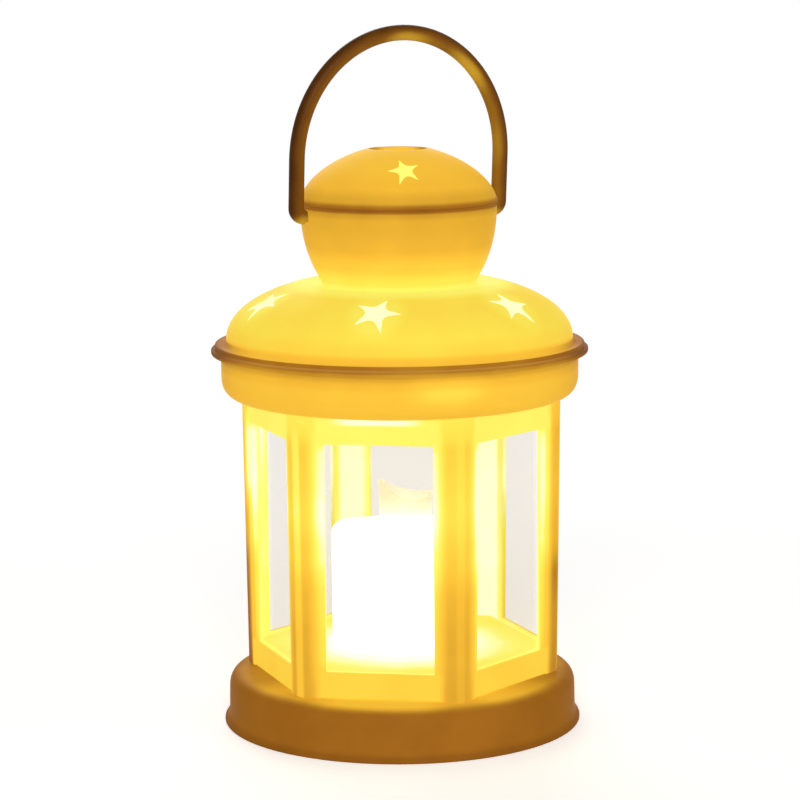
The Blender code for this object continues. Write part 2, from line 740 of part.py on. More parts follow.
def switch_wires(looks):
    """From the switch up beside the well and over its edge to the board."""
    start_x = SWITCH_X - SWITCH_LENGTH / 2 - GAP
    start_z = PLATE_TOP + GAP + SWITCH_HEIGHT / 2
    beside = WELL_INNER_X + WELL_WALL + GAP + 2 * WIRE_RADIUS
    level = WELL_TOP + GAP + 2 * WIRE_RADIUS
    board_edge = BOARD_LENGTH / 2 + GAP
    for side, name in ((-1, "switch_wire_1"), (1, "switch_wire_2")):
        y = SWITCH_Y + side * SWITCH_WIRE_SPREAD
        end_y = -BOARD_WIDTH / 4 + side * SWITCH_WIRE_SPREAD
        route = [
            (start_x, y, start_z),
            (start_x - 1.5, y, start_z + 0.4),
            (beside + 1.0, y, start_z + 3.0),
            (beside, y, level - 2.5),
            (beside - 0.8, y, level - 0.6),
            (beside - 2.5, y + (end_y - y) * 0.3, level),
            (board_edge + 2.5, end_y, level - 0.2),
            (board_edge + 1.2, end_y, BOARD_MIDDLE),
            (board_edge, end_y, BOARD_MIDDLE),
        ]
        tube(name, route, WIRE_RADIUS, looks["wire_black"])


def body_frame(looks):
    bottom = body_outline(BODY_CORNER_BOTTOM)
    top = body_outline(BODY_CORNER_TOP)
    frame = prism("body_frame", bottom, BODY_BOTTOM, BODY_TOP, looks["body"], top=top)
    cut(frame, prism("body_cavity", hexagon(BODY_CAVITY_APOTHEM), BODY_BOTTOM - PAST, BODY_TOP + PAST))
    high = WINDOW_TOP - WINDOW_BOTTOM
    across = rectangle(3 * BODY_CORNER_TOP, WINDOW_WIDTH)
    for face in range(3):
        opening = prism(f"window_cut_{face + 1}", across, -high / 2, high / 2)
        moved_by(opening, Matrix.Rotation(math.radians(60 * face), 4, "Z"))
        opening.location = Vector((0, 0, (WINDOW_TOP + WINDOW_BOTTOM) / 2)) * MM
        cut(frame, opening)
    low = BODY_BOTTOM + BOSS_RECESS
    high = TRAY_BOTTOM - GAP
    bore = SCREW_SHANK / 2 + SCREW_GAP
    for index in range(SCREW_COUNT):
        x, y = screw_place(index)
        fuse(frame, cylinder(f"body_boss_{index + 1}", SCREW_POST_RADIUS, low, high, x, y))
        tool = cylinder(f"body_bore_{index + 1}", bore, low - PAST, high - BOSS_ROOF, x, y, segments=11)
        cut(frame, tool)
    return frame


def window_panes(looks):
    width = WINDOW_WIDTH + 2 * PANE_LAP
    low = TRAY_TOP + GAP
    high = WINDOW_TOP + PANE_TOP_LAP
    depth = BODY_CAVITY_APOTHEM - GAP - PANE_THICKNESS / 2
    for face in range(6):
        pane = prism(f"window_pane_{face + 1}", rectangle(PANE_THICKNESS, width), low, high, looks["pane"])
        turn = Matrix.Rotation(math.radians(60 * face), 4, "Z")
        moved_by(pane, turn @ Matrix.Translation((depth * MM, 0, 0)))


def candle_tray(looks):
    tray = prism("candle_tray", hexagon(BODY_CAVITY_APOTHEM - GAP), TRAY_BOTTOM, TRAY_TOP, looks["body"])
    ring_inner = CANDLE_RADIUS + GAP
    ring = [
        (ring_inner, TRAY_TOP - OVERLAP),
        (ring_inner + TRAY_RING_WALL, TRAY_TOP - OVERLAP),
        (ring_inner + TRAY_RING_WALL, TRAY_TOP + TRAY_RING_HEIGHT),
        (ring_inner, TRAY_TOP + TRAY_RING_HEIGHT),
    ]
    fuse(tray, lathe("tray_ring", ring, None, MIDDLE_SEGMENT_COUNT))
    cut(tray, cylinder("tray_hole", TRAY_HOLE_RADIUS, TRAY_BOTTOM - PAST, TRAY_TOP + PAST))
    return tray


def candle_shell(looks):
    inner = CANDLE_RADIUS - CANDLE_WALL
    crown = CANDLE_TOP - CANDLE_EDGE
    mouth = FLAME_STEM_RADIUS + GAP
    dish = CANDLE_TOP - CANDLE_DISH
    profile = [(inner, CANDLE_BOTTOM), (CANDLE_RADIUS, CANDLE_BOTTOM)]
    profile += arc(CANDLE_RADIUS - CANDLE_EDGE, crown, CANDLE_EDGE, 0, 90, 4)
    profile += [(CANDLE_RADIUS - CANDLE_LIP_WIDTH, dish + CANDLE_DISH_SLOPE)]
    profile += [(mouth, dish), (mouth, dish - CANDLE_WALL)]
    profile += [(inner, dish - CANDLE_WALL)]
    return lathe("candle_shell", profile, looks["candle"], MIDDLE_SEGMENT_COUNT)


def flame_wave(angle, height):
    """Lifts the flame's rim into two tips, the higher one at FLAME_TIP_ANGLE."""
    if height < FLAME_TOP:
        return 0.0
    turn = angle - math.radians(FLAME_TIP_ANGLE)
    return FLAME_WAVE * (math.cos(turn) + FLAME_SECOND_WAVE * math.cos(2 * turn))


def flame_diffuser(looks):
    seat = CANDLE_TOP - CANDLE_DISH + GAP
    inner = FLAME_RADIUS - FLAME_WALL
    profile = [
        (FLAME_STEM_RADIUS - FLAME_WALL, seat - CANDLE_WALL - GAP),
        (FLAME_STEM_RADIUS, seat - CANDLE_WALL - GAP),
        (FLAME_STEM_RADIUS, seat),
        (FLAME_RADIUS - FLAME_FLARE, seat),
        (FLAME_RADIUS, FLAME_TOP),
        (inner, FLAME_TOP),
        (inner - FLAME_FLARE, seat + FLAME_WALL),
        (FLAME_STEM_RADIUS - FLAME_WALL, seat + FLAME_WALL),
    ]
    return lathe("flame_diffuser", profile, looks["flame"], MIDDLE_SEGMENT_COUNT, lift=flame_wave)


def lamp(looks):
    foot = LAMP_POST_RADIUS + LAMP_FOOT_REACH
    post = [
        (LAMP_POST_BORE, CANDLE_BOTTOM),
        (foot, CANDLE_BOTTOM),
        (foot, CANDLE_BOTTOM + LAMP_FOOT_HEIGHT),
        (LAMP_POST_RADIUS, CANDLE_BOTTOM + LAMP_FOOT_HEIGHT),
        (LAMP_POST_RADIUS, LAMP_POST_TOP),
        (LAMP_POST_BORE, LAMP_POST_TOP),
    ]
    lathe("lamp_post", post, looks["white"], 20)
    low = LAMP_POST_TOP + GAP
    flange = LAMP_RADIUS + LAMP_FLANGE
    step = low + LAMP_FLANGE_HEIGHT
    profile = [(0, low), (flange, low), (flange, step), (LAMP_RADIUS, step)]
    profile += arc(0, low + LAMP_LENGTH - LAMP_RADIUS, LAMP_RADIUS, 0, 90, 4)[:-1]
    profile += [(0, low + LAMP_LENGTH)]
    lathe("led_lamp", profile, looks["lamp"], 20)


def lamp_wires(looks):
    low = BOARD_BOTTOM + BOARD_THICKNESS + GAP
    for side, name in ((-1, "lamp_wire_negative"), (1, "lamp_wire_positive")):
        x = side * WIRE_SPREAD
        shares = [step / WIRE_STEP_COUNT for step in range(WIRE_STEP_COUNT + 1)]
        points = [(x, 0, low + (LAMP_POST_TOP - low) * share) for share in shares]
        tube(name, points, WIRE_RADIUS, looks["wire_red" if side > 0 else "wire_black"])


def circuit_board(looks):
    size = (BOARD_LENGTH, BOARD_WIDTH, BOARD_THICKNESS)
    box("circuit_board", size, (0, 0, BOARD_MIDDLE), looks["board"])
    top = BOARD_BOTTOM + BOARD_THICKNESS + GAP
    chip = [(0, top), (CHIP_FOOT_RADIUS, top), (CHIP_TOP_RADIUS, top + CHIP_SHOULDER), (0, top + CHIP_HEIGHT)]
    lathe("flicker_chip", chip, looks["chip"], SMALL_SEGMENT_COUNT, (CHIP_X, 0, 0))
    box("resistor", RESISTOR_SIZE, (RESISTOR_X, 0, top + RESISTOR_SIZE[2] / 2), looks["chip"])


def slide_switch(looks):
    low = PLATE_TOP + GAP
    centre = (SWITCH_X, SWITCH_Y, low + SWITCH_HEIGHT / 2)
    housing = box("switch_housing", (SWITCH_LENGTH, SWITCH_WIDTH, SWITCH_HEIGHT), centre, looks["steel"])
    travel = KNOB_LENGTH + SWITCH_TRAVEL + 2 * RUNNING_GAP
    pocket = (travel, KNOB_WIDTH + 2 * RUNNING_GAP, SWITCH_HEIGHT)
    cut(housing, box("switch_pocket", pocket, (SWITCH_X, SWITCH_Y, low + SWITCH_HEIGHT / 2 - SWITCH_CEILING)))
    knob_low = PLATE_BOTTOM - KNOB_PROUD
    knob_high = low + SWITCH_HEIGHT - SWITCH_CEILING - RUNNING_GAP
    size = (KNOB_LENGTH, KNOB_WIDTH, knob_high - knob_low)
    knob_x = SWITCH_X - SWITCH_TRAVEL / 2
    box("switch_knob", size, (knob_x, SWITCH_Y, (knob_low + knob_high) / 2), looks["chip"])


def upper_band(looks):
    wall = BAND_WALL
    centre = BAND_RADIUS - BAND_ROUND
    low = BAND_BOTTOM + BAND_ROUND
    profile = [(BAND_MOUTH_RADIUS, BAND_BOTTOM)]
    profile += arc(centre, low, BAND_ROUND, -90, 0, 5)
    profile += [(BAND_RADIUS, LOWER_LIP_BOTTOM - LIP_EASE), (LOWER_LIP_RADIUS - LIP_EASE, LOWER_LIP_BOTTOM)]
    profile += [(LOWER_LIP_RADIUS, LOWER_LIP_BOTTOM + LIP_EASE)]
    profile += [(LOWER_LIP_RADIUS, LOWER_LIP_TOP - EDGE_EASE)]
    profile += [(LOWER_LIP_RADIUS - EDGE_EASE, LOWER_LIP_TOP), (BAND_RADIUS - wall, LOWER_LIP_TOP)]
    profile += arc(centre, low, BAND_ROUND - wall, 0, -90, 2)
    profile += [(BAND_MOUTH_RADIUS, BAND_BOTTOM + wall)]
    return lathe("upper_band", profile, looks["body"])


def offset_line(points, inset):
    """The same line moved to its inner side, point by point along its normal."""
    moved = []
    for index, point in enumerate(points):
        before = Vector(points[max(index - 1, 0)])
        after = Vector(points[min(index + 1, len(points) - 1)])
        along = (after - before).normalized()
        moved.append(tuple(Vector(point) + Vector((-along.y, along.x)) * inset))
    return moved


def dome_line(steps=8):
    """The roof's skin from its foot to the crest, evenly turned."""
    points = []
    last = math.acos((DOME_CREST_RADIUS / DOME_RADIUS) ** (DOME_POWER / 2))
    for step in range(steps + 1):
        turn = last * step / steps
        radius = DOME_RADIUS * math.cos(turn) ** (2 / DOME_POWER)
        points.append((radius, dome_height(min(radius, DOME_RADIUS))))
    return points


def bowl_line(steps=6):
    points = []
    for step in range(steps + 1):
        height = NECK_HEIGHT + (BOWL_TOP - NECK_HEIGHT) * step / steps
        points.append((bowl_radius(height), height))
    return points


def roof(looks):
    spigot = BAND_RADIUS - BAND_WALL - GAP
    dome = dome_line()
    bowl = bowl_line()
    outer = [(UPPER_LIP_RADIUS - EDGE_EASE, ROOF_BOTTOM), (UPPER_LIP_RADIUS, ROOF_BOTTOM + EDGE_EASE)]
    outer += [(UPPER_LIP_RADIUS, DOME_FOOT - EDGE_EASE), (UPPER_LIP_RADIUS - EDGE_EASE, DOME_FOOT)]
    outer += dome + bowl
    step_radius = CAP_RADIUS - CAP_WALL - GAP - RIM_STEP_EASE
    outer += [(step_radius, BOWL_TOP), (step_radius, BOWL_TOP + RIM_STEP_HEIGHT)]
    inner_bowl = offset_line(bowl, ROOF_WALL)[::2]
    inner_dome = offset_line(dome, ROOF_WALL)[::2]
    inner = [(step_radius - RIM_STEP_WALL, BOWL_TOP + RIM_STEP_HEIGHT)]
    step_foot = BOWL_TOP - RIM_STEP_DEPTH
    inner += [(step_radius - RIM_STEP_WALL, step_foot)]
    lowest = NECK_HEIGHT + OVERLAP
    inner += [point for point in reversed(inner_bowl) if lowest < point[1] < step_foot - EDGE_EASE]
    inner += [(NECK_RADIUS - ROOF_WALL, NECK_HEIGHT - ROOF_WALL)]
    inner += [point for point in reversed(inner_dome) if point[1] > DOME_FOOT + OVERLAP]
    inner += [(spigot - ROOF_WALL, ROOF_BOTTOM), (spigot - ROOF_WALL, ROOF_BOTTOM - ROOF_SPIGOT_DEPTH)]
    inner += [(spigot, ROOF_BOTTOM - ROOF_SPIGOT_DEPTH), (spigot, ROOF_BOTTOM)]
    shell = lathe("roof", outer + inner, looks["body"])
    cut(shell, hole_along_x("pivot_hole", PIVOT_PIN_RADIUS + RUNNING_GAP, 2 * BOWL_RADIUS, PIVOT_HEIGHT))
    height = dome_height(ROOF_STAR_DISTANCE)
    for index in range(ROOF_STAR_COUNT):
        heading = 360 / ROOF_STAR_COUNT * index
        place = (ROOF_STAR_DISTANCE, height, heading, ROOF_STAR_TURN)
        cut(shell, star_cutter(f"roof_star_{index + 1}", ROOF_STAR_RADIUS, *place))
    return shell


def cap_height(radius):
    share = (radius / CAP_RADIUS) ** CAP_POWER
    return CAP_BOTTOM + CAP_RISE * (1 - share) ** (1 / CAP_POWER)


def cap(looks):
    outer = [(CAP_RADIUS, CAP_BOTTOM), (CAP_RADIUS + CAP_BEAD, CAP_BOTTOM + CAP_BEAD_EASE)]
    outer += [(CAP_RADIUS + CAP_BEAD, CAP_BOTTOM + CAP_BEAD_HEIGHT - CAP_BEAD_EASE)]
    skin = [cap_point(90 * step / 9) for step in range(10)]
    bead_top = CAP_BOTTOM + CAP_BEAD_HEIGHT
    skin = [point for point in skin if point[0] > VENT_FLAT_RADIUS and point[1] > bead_top]
    crown = cap_height(VENT_FLAT_RADIUS)
    outer += [(CAP_RADIUS, bead_top)] + skin
    outer += [(VENT_FLAT_RADIUS, crown), (VENT_RADIUS, crown + VENT_RISE), (VENT_RADIUS, crown - CAP_WALL)]
    inner = [cap_point(90 * step / 6, CAP_WALL) for step in range(6, -1, -1)]
    inner = [point for point in inner if VENT_RADIUS + OVERLAP < point[0]]
    shell = lathe("cap", outer + inner, looks["body"], MIDDLE_SEGMENT_COUNT)
    height = cap_height(CAP_STAR_DISTANCE)
    for index in range(CAP_STAR_COUNT):
        heading = CAP_STAR_HEADING + 360 / CAP_STAR_COUNT * index
        place = (CAP_STAR_DISTANCE, height, heading, CAP_STAR_TURN)
        cut(shell, star_cutter(f"cap_star_{index + 1}", CAP_STAR_RADIUS, *place))
    return shell


def bail_side():
    """Half of the bail's line, from its pin to its apex, as (x, z, radius) from the pivot."""
    bend_centre = BAIL_HALF_SPAN - BAIL_BEND
    pin_end = bend_centre - PIVOT_PIN_REACH
    points = [(pin_end, 0.0, PIVOT_PIN_RADIUS), (bend_centre, 0.0, PIVOT_PIN_RADIUS)]
    for step in range(5):
        angle = math.radians(-90 + 90 * step / 4)
        x = bend_centre + BAIL_BEND * math.cos(angle)
        z = BAIL_BEND + BAIL_BEND * math.sin(angle)
        points.append((x, z, BAIL_RADIUS))
    rise = BAIL_APEX - BAIL_SPRING_LINE
    for step in range(11):
        angle = math.radians(90 * step / 10)
        x = BAIL_HALF_SPAN * math.cos(angle)
        z = BAIL_SPRING_LINE - PIVOT_HEIGHT + rise * math.sin(angle)
        points.append((x, z, BAIL_RADIUS))
    return points


def bail(looks):
    side = bail_side()
    line = side + [(-x, z, radius) for x, z, radius in reversed(side[:-1])]
    points = [(x, 0.0, z) for x, z, _ in line]
    radii = [radius for _, _, radius in line]
    handle = sweep("bail", points, radii, looks["bail"], 10, PIVOT)
    handle.rotation_euler = (math.radians(BAIL_LEAN), 0.0, 0.0)
    return handle


def build():
    clear_scene()
    looks = {
        "base": material("bronze_gold", (0.35, 0.13, 0.02), 0.4),
        "bail": material("dark_bronze", (0.18, 0.07, 0.015), 0.35),
        "body": material("lit_gold", (0.98, 0.6, 0.09), 0.35),
        "candle": material("candle_white", (1.0, 0.97, 0.88), 0.5),
        "flame": material("flame_cream", (1.0, 0.86, 0.62), 0.4, alpha=0.6),
        "white": material("moulded_white", (0.9, 0.88, 0.84), 0.5),
        "lamp": material("lamp_lens", (1.0, 0.93, 0.7), 0.15),
        "pane": material("clear_pane", (0.86, 0.84, 0.8), 0.1, alpha=0.25),
        "steel": material("plated_steel", (0.7, 0.7, 0.7), 0.3, 1.0),
        "cell": material("cell_sleeve", (0.12, 0.12, 0.13), 0.4),
        "board": material("board_green", (0.03, 0.2, 0.08), 0.5),
        "chip": material("black_plastic", (0.03, 0.03, 0.03), 0.5),
        "wire_red": material("wire_red", (0.6, 0.03, 0.02), 0.5),
        "wire_black": material("wire_black", (0.02, 0.02, 0.02), 0.5),
    }
    base_shell(looks)
    base_plate(looks)
    battery_door(looks)
    screws(looks)
    cells(looks)
    contacts(looks)
    battery_wires(looks)
    slide_switch(looks)
    switch_wires(looks)
    circuit_board(looks)
    body_frame(looks)
    window_panes(looks)
    candle_tray(looks)
    candle_shell(looks)
    flame_diffuser(looks)
    lamp(looks)
    lamp_wires(looks)
    upper_band(looks)
    roof(looks)
    cap(looks)
    bail(looks)


build()
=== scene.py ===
"""Looks of the decorative LED lantern: smooth moulded shells, lit plastic and a glowing candle.

Lengths are in millimetres and are scaled by MM. A piece's object sits at the frame's
origin, so its Object coordinates are places in the lantern's own frame.
"""

import math

import bmesh
import bpy
from mathutils import Matrix, Vector


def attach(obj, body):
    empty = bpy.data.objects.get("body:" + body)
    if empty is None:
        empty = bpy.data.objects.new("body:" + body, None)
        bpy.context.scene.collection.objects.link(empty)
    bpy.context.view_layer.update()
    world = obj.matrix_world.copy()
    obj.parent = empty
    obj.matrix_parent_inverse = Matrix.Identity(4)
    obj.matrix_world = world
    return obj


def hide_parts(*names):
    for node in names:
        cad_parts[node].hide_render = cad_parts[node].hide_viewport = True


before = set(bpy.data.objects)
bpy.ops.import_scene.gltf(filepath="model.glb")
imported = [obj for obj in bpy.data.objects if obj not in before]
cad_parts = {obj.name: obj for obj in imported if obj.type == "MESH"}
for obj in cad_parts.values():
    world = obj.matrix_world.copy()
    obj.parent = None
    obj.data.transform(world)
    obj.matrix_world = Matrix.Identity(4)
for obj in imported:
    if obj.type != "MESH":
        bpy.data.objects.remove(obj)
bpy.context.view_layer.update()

MM = 0.001

# Base
BASE_RADIUS = 46.6
BASE_WALL = 1.8
BASE_SHOULDER = 3.9
BASE_HEIGHT = 13.5
FOOT_RADIUS = 47.9
FOOT_HEIGHT = 0.9
FLARE_HEIGHT = 3.6
DECK_HOLE_RADIUS = 33.0

# Body
BODY_BOTTOM = 13.8
BODY_TOP = 87.5
BODY_CORNER_BOTTOM = 41.9
BODY_CORNER_TOP = 42.75
CAVITY_APOTHEM = 34.7
CORNER_FACET = 2.4
POST_FACE = 4.4
POST_PROUD = 0.5
WINDOW_WIDTH = 28.4
WINDOW_BOTTOM = 20.6
WINDOW_TOP = 80.4

# Candle, flame and lamp
CANDLE_RADIUS = 18.65
CANDLE_WALL = 1.3
CANDLE_BOTTOM = 20.3
CANDLE_TOP = 52.0
CANDLE_EDGE = 1.2
CANDLE_DISH = 1.4
CANDLE_WAVE = 0.3
FLAME_RADIUS = 7.4
FLAME_WALL = 0.8
FLAME_TOP = 62.1
FLAME_WAVE = 1.7
FLAME_SECOND_WAVE = 0.7
FLAME_TIP_ANGLE = 160.0
FLAME_FLARE = 0.8
FLAME_STEM_RADIUS = 4.4
FLAME_LEAN = (1.2, -0.45)
GAP = 0.3

# Band under the roof
BAND_BOTTOM = 87.7
BAND_RADIUS = 47.4
BAND_ROUND = 5.8
BAND_WALL = 1.8
BAND_MOUTH_RADIUS = 33.0
LOWER_LIP_RADIUS = 50.0
LOWER_LIP_BOTTOM = 99.7
LOWER_LIP_TOP = 100.9

# Roof
ROOF_BOTTOM = 101.2
DOME_FOOT = 102.3
UPPER_LIP_RADIUS = 49.0
ROOF_WALL = 1.6
ROOF_SPIGOT_DEPTH = 5.0
DOME_RADIUS = 46.1
DOME_RISE = 18.4
DOME_POWER = 2.25
DOME_CREST_RADIUS = 26.0
NECK_HEIGHT = 117.9
BOWL_RADIUS = 25.95
BOWL_TOP = 138.8
BOWL_DEPTH = 31.0
BOWL_POWER = 2.14
STEP_RADIUS = 23.85
STEP_HEIGHT = 1.8
STEP_WALL = 1.3
PIVOT_HEIGHT = 136.4
PIVOT_HOLE_RADIUS = 1.9

# Cap
CAP_BOTTOM = 139.1
CAP_RADIUS = 26.05
CAP_WALL = 1.5
CAP_RISE = 15.4
CAP_POWER = 1.75
CAP_BEAD = 0.15
CAP_BEAD_HEIGHT = 0.9
VENT_RADIUS = 7.4
VENT_FLAT_RADIUS = 8.3

# Stars
ROOF_STAR_RADIUS = 6.3
ROOF_STAR_DISTANCE = 37.05
ROOF_STAR_COUNT = 6
ROOF_STAR_TURN = 18.8
CAP_STAR_RADIUS = 4.4
CAP_STAR_DISTANCE = 18.5
CAP_STAR_COUNT = 3
CAP_STAR_HEADING = -106.0
CAP_STAR_TURN = 50.0
STAR_WAIST = 0.36
STAR_STRAIGHT = 0.6
STAR_STEPS = 4
STAR_REACH = 7.0

# Bail
BAIL_RADIUS = 2.05
BAIL_HALF_SPAN = 28.55
BAIL_BEND = 2.15
BAIL_SPRING_LINE = 151.3
BAIL_APEX = 183.75
BAIL_LEAN = 4.9
PIN_RADIUS = 1.5
PIN_REACH = 2.6

# Camera, fitted to the photograph
CAMERA_DISTANCE = 740.8
CAMERA_HEIGHT = 203.7
CAMERA_AZIMUTH = -21.0
CAMERA_PITCH = 9.0
CAMERA_ROLL = -0.45
CAMERA_LENS = 126.7

# Points round each turned piece, and along its curves
SMOOTH_SEGMENTS = 160
CANDLE_SEGMENTS = 128
FLAME_SEGMENTS = 96
DOME_STEPS = 36
BOWL_STEPS = 24
CAP_STEPS = 40
BAIL_SIDES = 28
BAIL_BEND_STEPS = 10
BAIL_LEG_STEPS = 8
BAIL_ARCH_STEPS = 32
# Edges that turn less than this many degrees look smooth on the candle, the flame cup and the bail
WAVY_SHARP = 50

# How the names of the plated pieces begin
STEEL_NODES = ("base_screw", "door_screw", "battery_spring", "terminal", "bridge", "switch_housing")

# The floor is lifted by this much for the camera, and is plain white beyond FLOOR_FADE_END
FLOOR_LIFT = 0.45
FLOOR_FADE_START = 90.0
FLOOR_FADE_END = 330.0
AMBIENT = 0.14
# Name, place, size and watts of each square lamp
LAMPS = (
    ("key", (-420, -1050, 430), 500, 10.0),
    ("fill", (600, -900, 300), 700, 1.0),
    ("back", (200, 1000, 700), 800, 6.0),
)


def srgb(red, green, blue):
    """A colour as it looks on screen, 0 to 255, as the linear colour that a shader takes."""
    def linear(value):
        share = value / 255
        return share / 12.92 if share <= 0.04045 else ((share + 0.055) / 1.055) ** 2.4
    return linear(red), linear(green), linear(blue), 1.0


def polar(radius, degrees):
    angle = math.radians(degrees)
    return radius * math.cos(angle), radius * math.sin(angle)


def finished(name, bm, look, sharp=32):
    """Turns a bmesh in mm into a piece at the frame's origin."""
    bmesh.ops.remove_doubles(bm, verts=bm.verts, dist=1e-5)
    bmesh.ops.recalc_face_normals(bm, faces=bm.faces)
    bmesh.ops.scale(bm, vec=(MM, MM, MM), verts=bm.verts)
    mesh = bpy.data.meshes.new(name)
    bm.to_mesh(mesh)
    bm.free()
    mesh.shade_smooth()
    mesh.set_sharp_from_angle(angle=math.radians(sharp))
    if look:
        mesh.materials.append(look)
    piece = bpy.data.objects.new(name, mesh)
    bpy.context.collection.objects.link(piece)
    return piece


def rounded(profile, steps=5):
    """A (radius, height, softness) outline with each soft corner drawn as a short curve."""
    line = []
    count = len(profile)
    for index, (radius, height, soft) in enumerate(profile):
        here = Vector((radius, height))
        if not soft:
            line.append(tuple(here))
            continue
        before = Vector(profile[index - 1][:2]) - here
        after = Vector(profile[(index + 1) % count][:2]) - here
        start = here + before.normalized() * min(soft, before.length / 2)
        end = here + after.normalized() * min(soft, after.length / 2)
        for step in range(steps + 1):
            share = step / steps
            line.append(tuple(start.lerp(here, share).lerp(here.lerp(end, share), share)))
    return line


def lathe(name, profile, look, segments=SMOOTH_SEGMENTS, lift=None, sharp=32, inner=None, inner_from=0):
    """Turns a closed (radius, height) outline about Z. lift(angle, height) raises a point.

    The outline's stretches from inner_from on get the look called inner.
    """
    bm = bmesh.new()
    rings = []
    for radius, height in profile:
        ring = []
        for step in range(segments):
            angle = 2 * math.pi * step / segments
            rise = lift(angle, height) if lift else 0.0
            ring.append(bm.verts.new((radius * math.cos(angle), radius * math.sin(angle), height + rise)))
        rings.append(ring)
    for index, (here, there) in enumerate(zip(rings, rings[1:] + rings[:1])):
        for step in range(segments):
            after = (step + 1) % segments
            face = bm.faces.new((here[step], there[step], there[after], here[after]))
            if inner and index >= inner_from:
                face.material_index = 1
    piece = finished(name, bm, look, sharp)
    if inner:
        piece.data.materials.append(inner)
    return piece


def prism(name, bottom, top, low, high, look=None):
    bm = bmesh.new()
    floor = [bm.verts.new((x, y, low)) for x, y in bottom]
    roof = [bm.verts.new((x, y, high)) for x, y in top]
    bm.faces.new(list(reversed(floor)))
    bm.faces.new(roof)
    count = len(floor)
    for index in range(count):
        after = (index + 1) % count
        bm.faces.new((floor[index], floor[after], roof[after], roof[index]))
    return finished(name, bm, look)


def cut(piece, tools):
    """Cuts the tools out of the piece for good, and removes them."""
    for tool in tools:
        modifier = piece.modifiers.new("cut", "BOOLEAN")
        modifier.operation = "DIFFERENCE"
        modifier.solver = "EXACT"
        modifier.material_mode = "TRANSFER"
        modifier.object = tool
    settle(piece)
    for tool in tools:
        bpy.data.objects.remove(tool)


def settle(piece, sharp=32):
    """Applies the piece's modifiers to its mesh."""
    bpy.context.view_layer.update()
    depsgraph = bpy.context.evaluated_depsgraph_get()
    mesh = bpy.data.meshes.new_from_object(piece.evaluated_get(depsgraph))
    piece.modifiers.clear()
    piece.data = mesh
    mesh.shade_smooth()
    mesh.set_sharp_from_angle(angle=math.radians(sharp))


def bevel(piece, width, segments=2, angle=30):
    """Rounds a piece's edges a little, as moulding does."""
    modifier = piece.modifiers.new("moulded_edges", "BEVEL")
    modifier.width = width * MM
    modifier.segments = segments
    modifier.limit_method = "ANGLE"
    modifier.angle_limit = math.radians(angle)
    modifier.harden_normals = True
    return piece


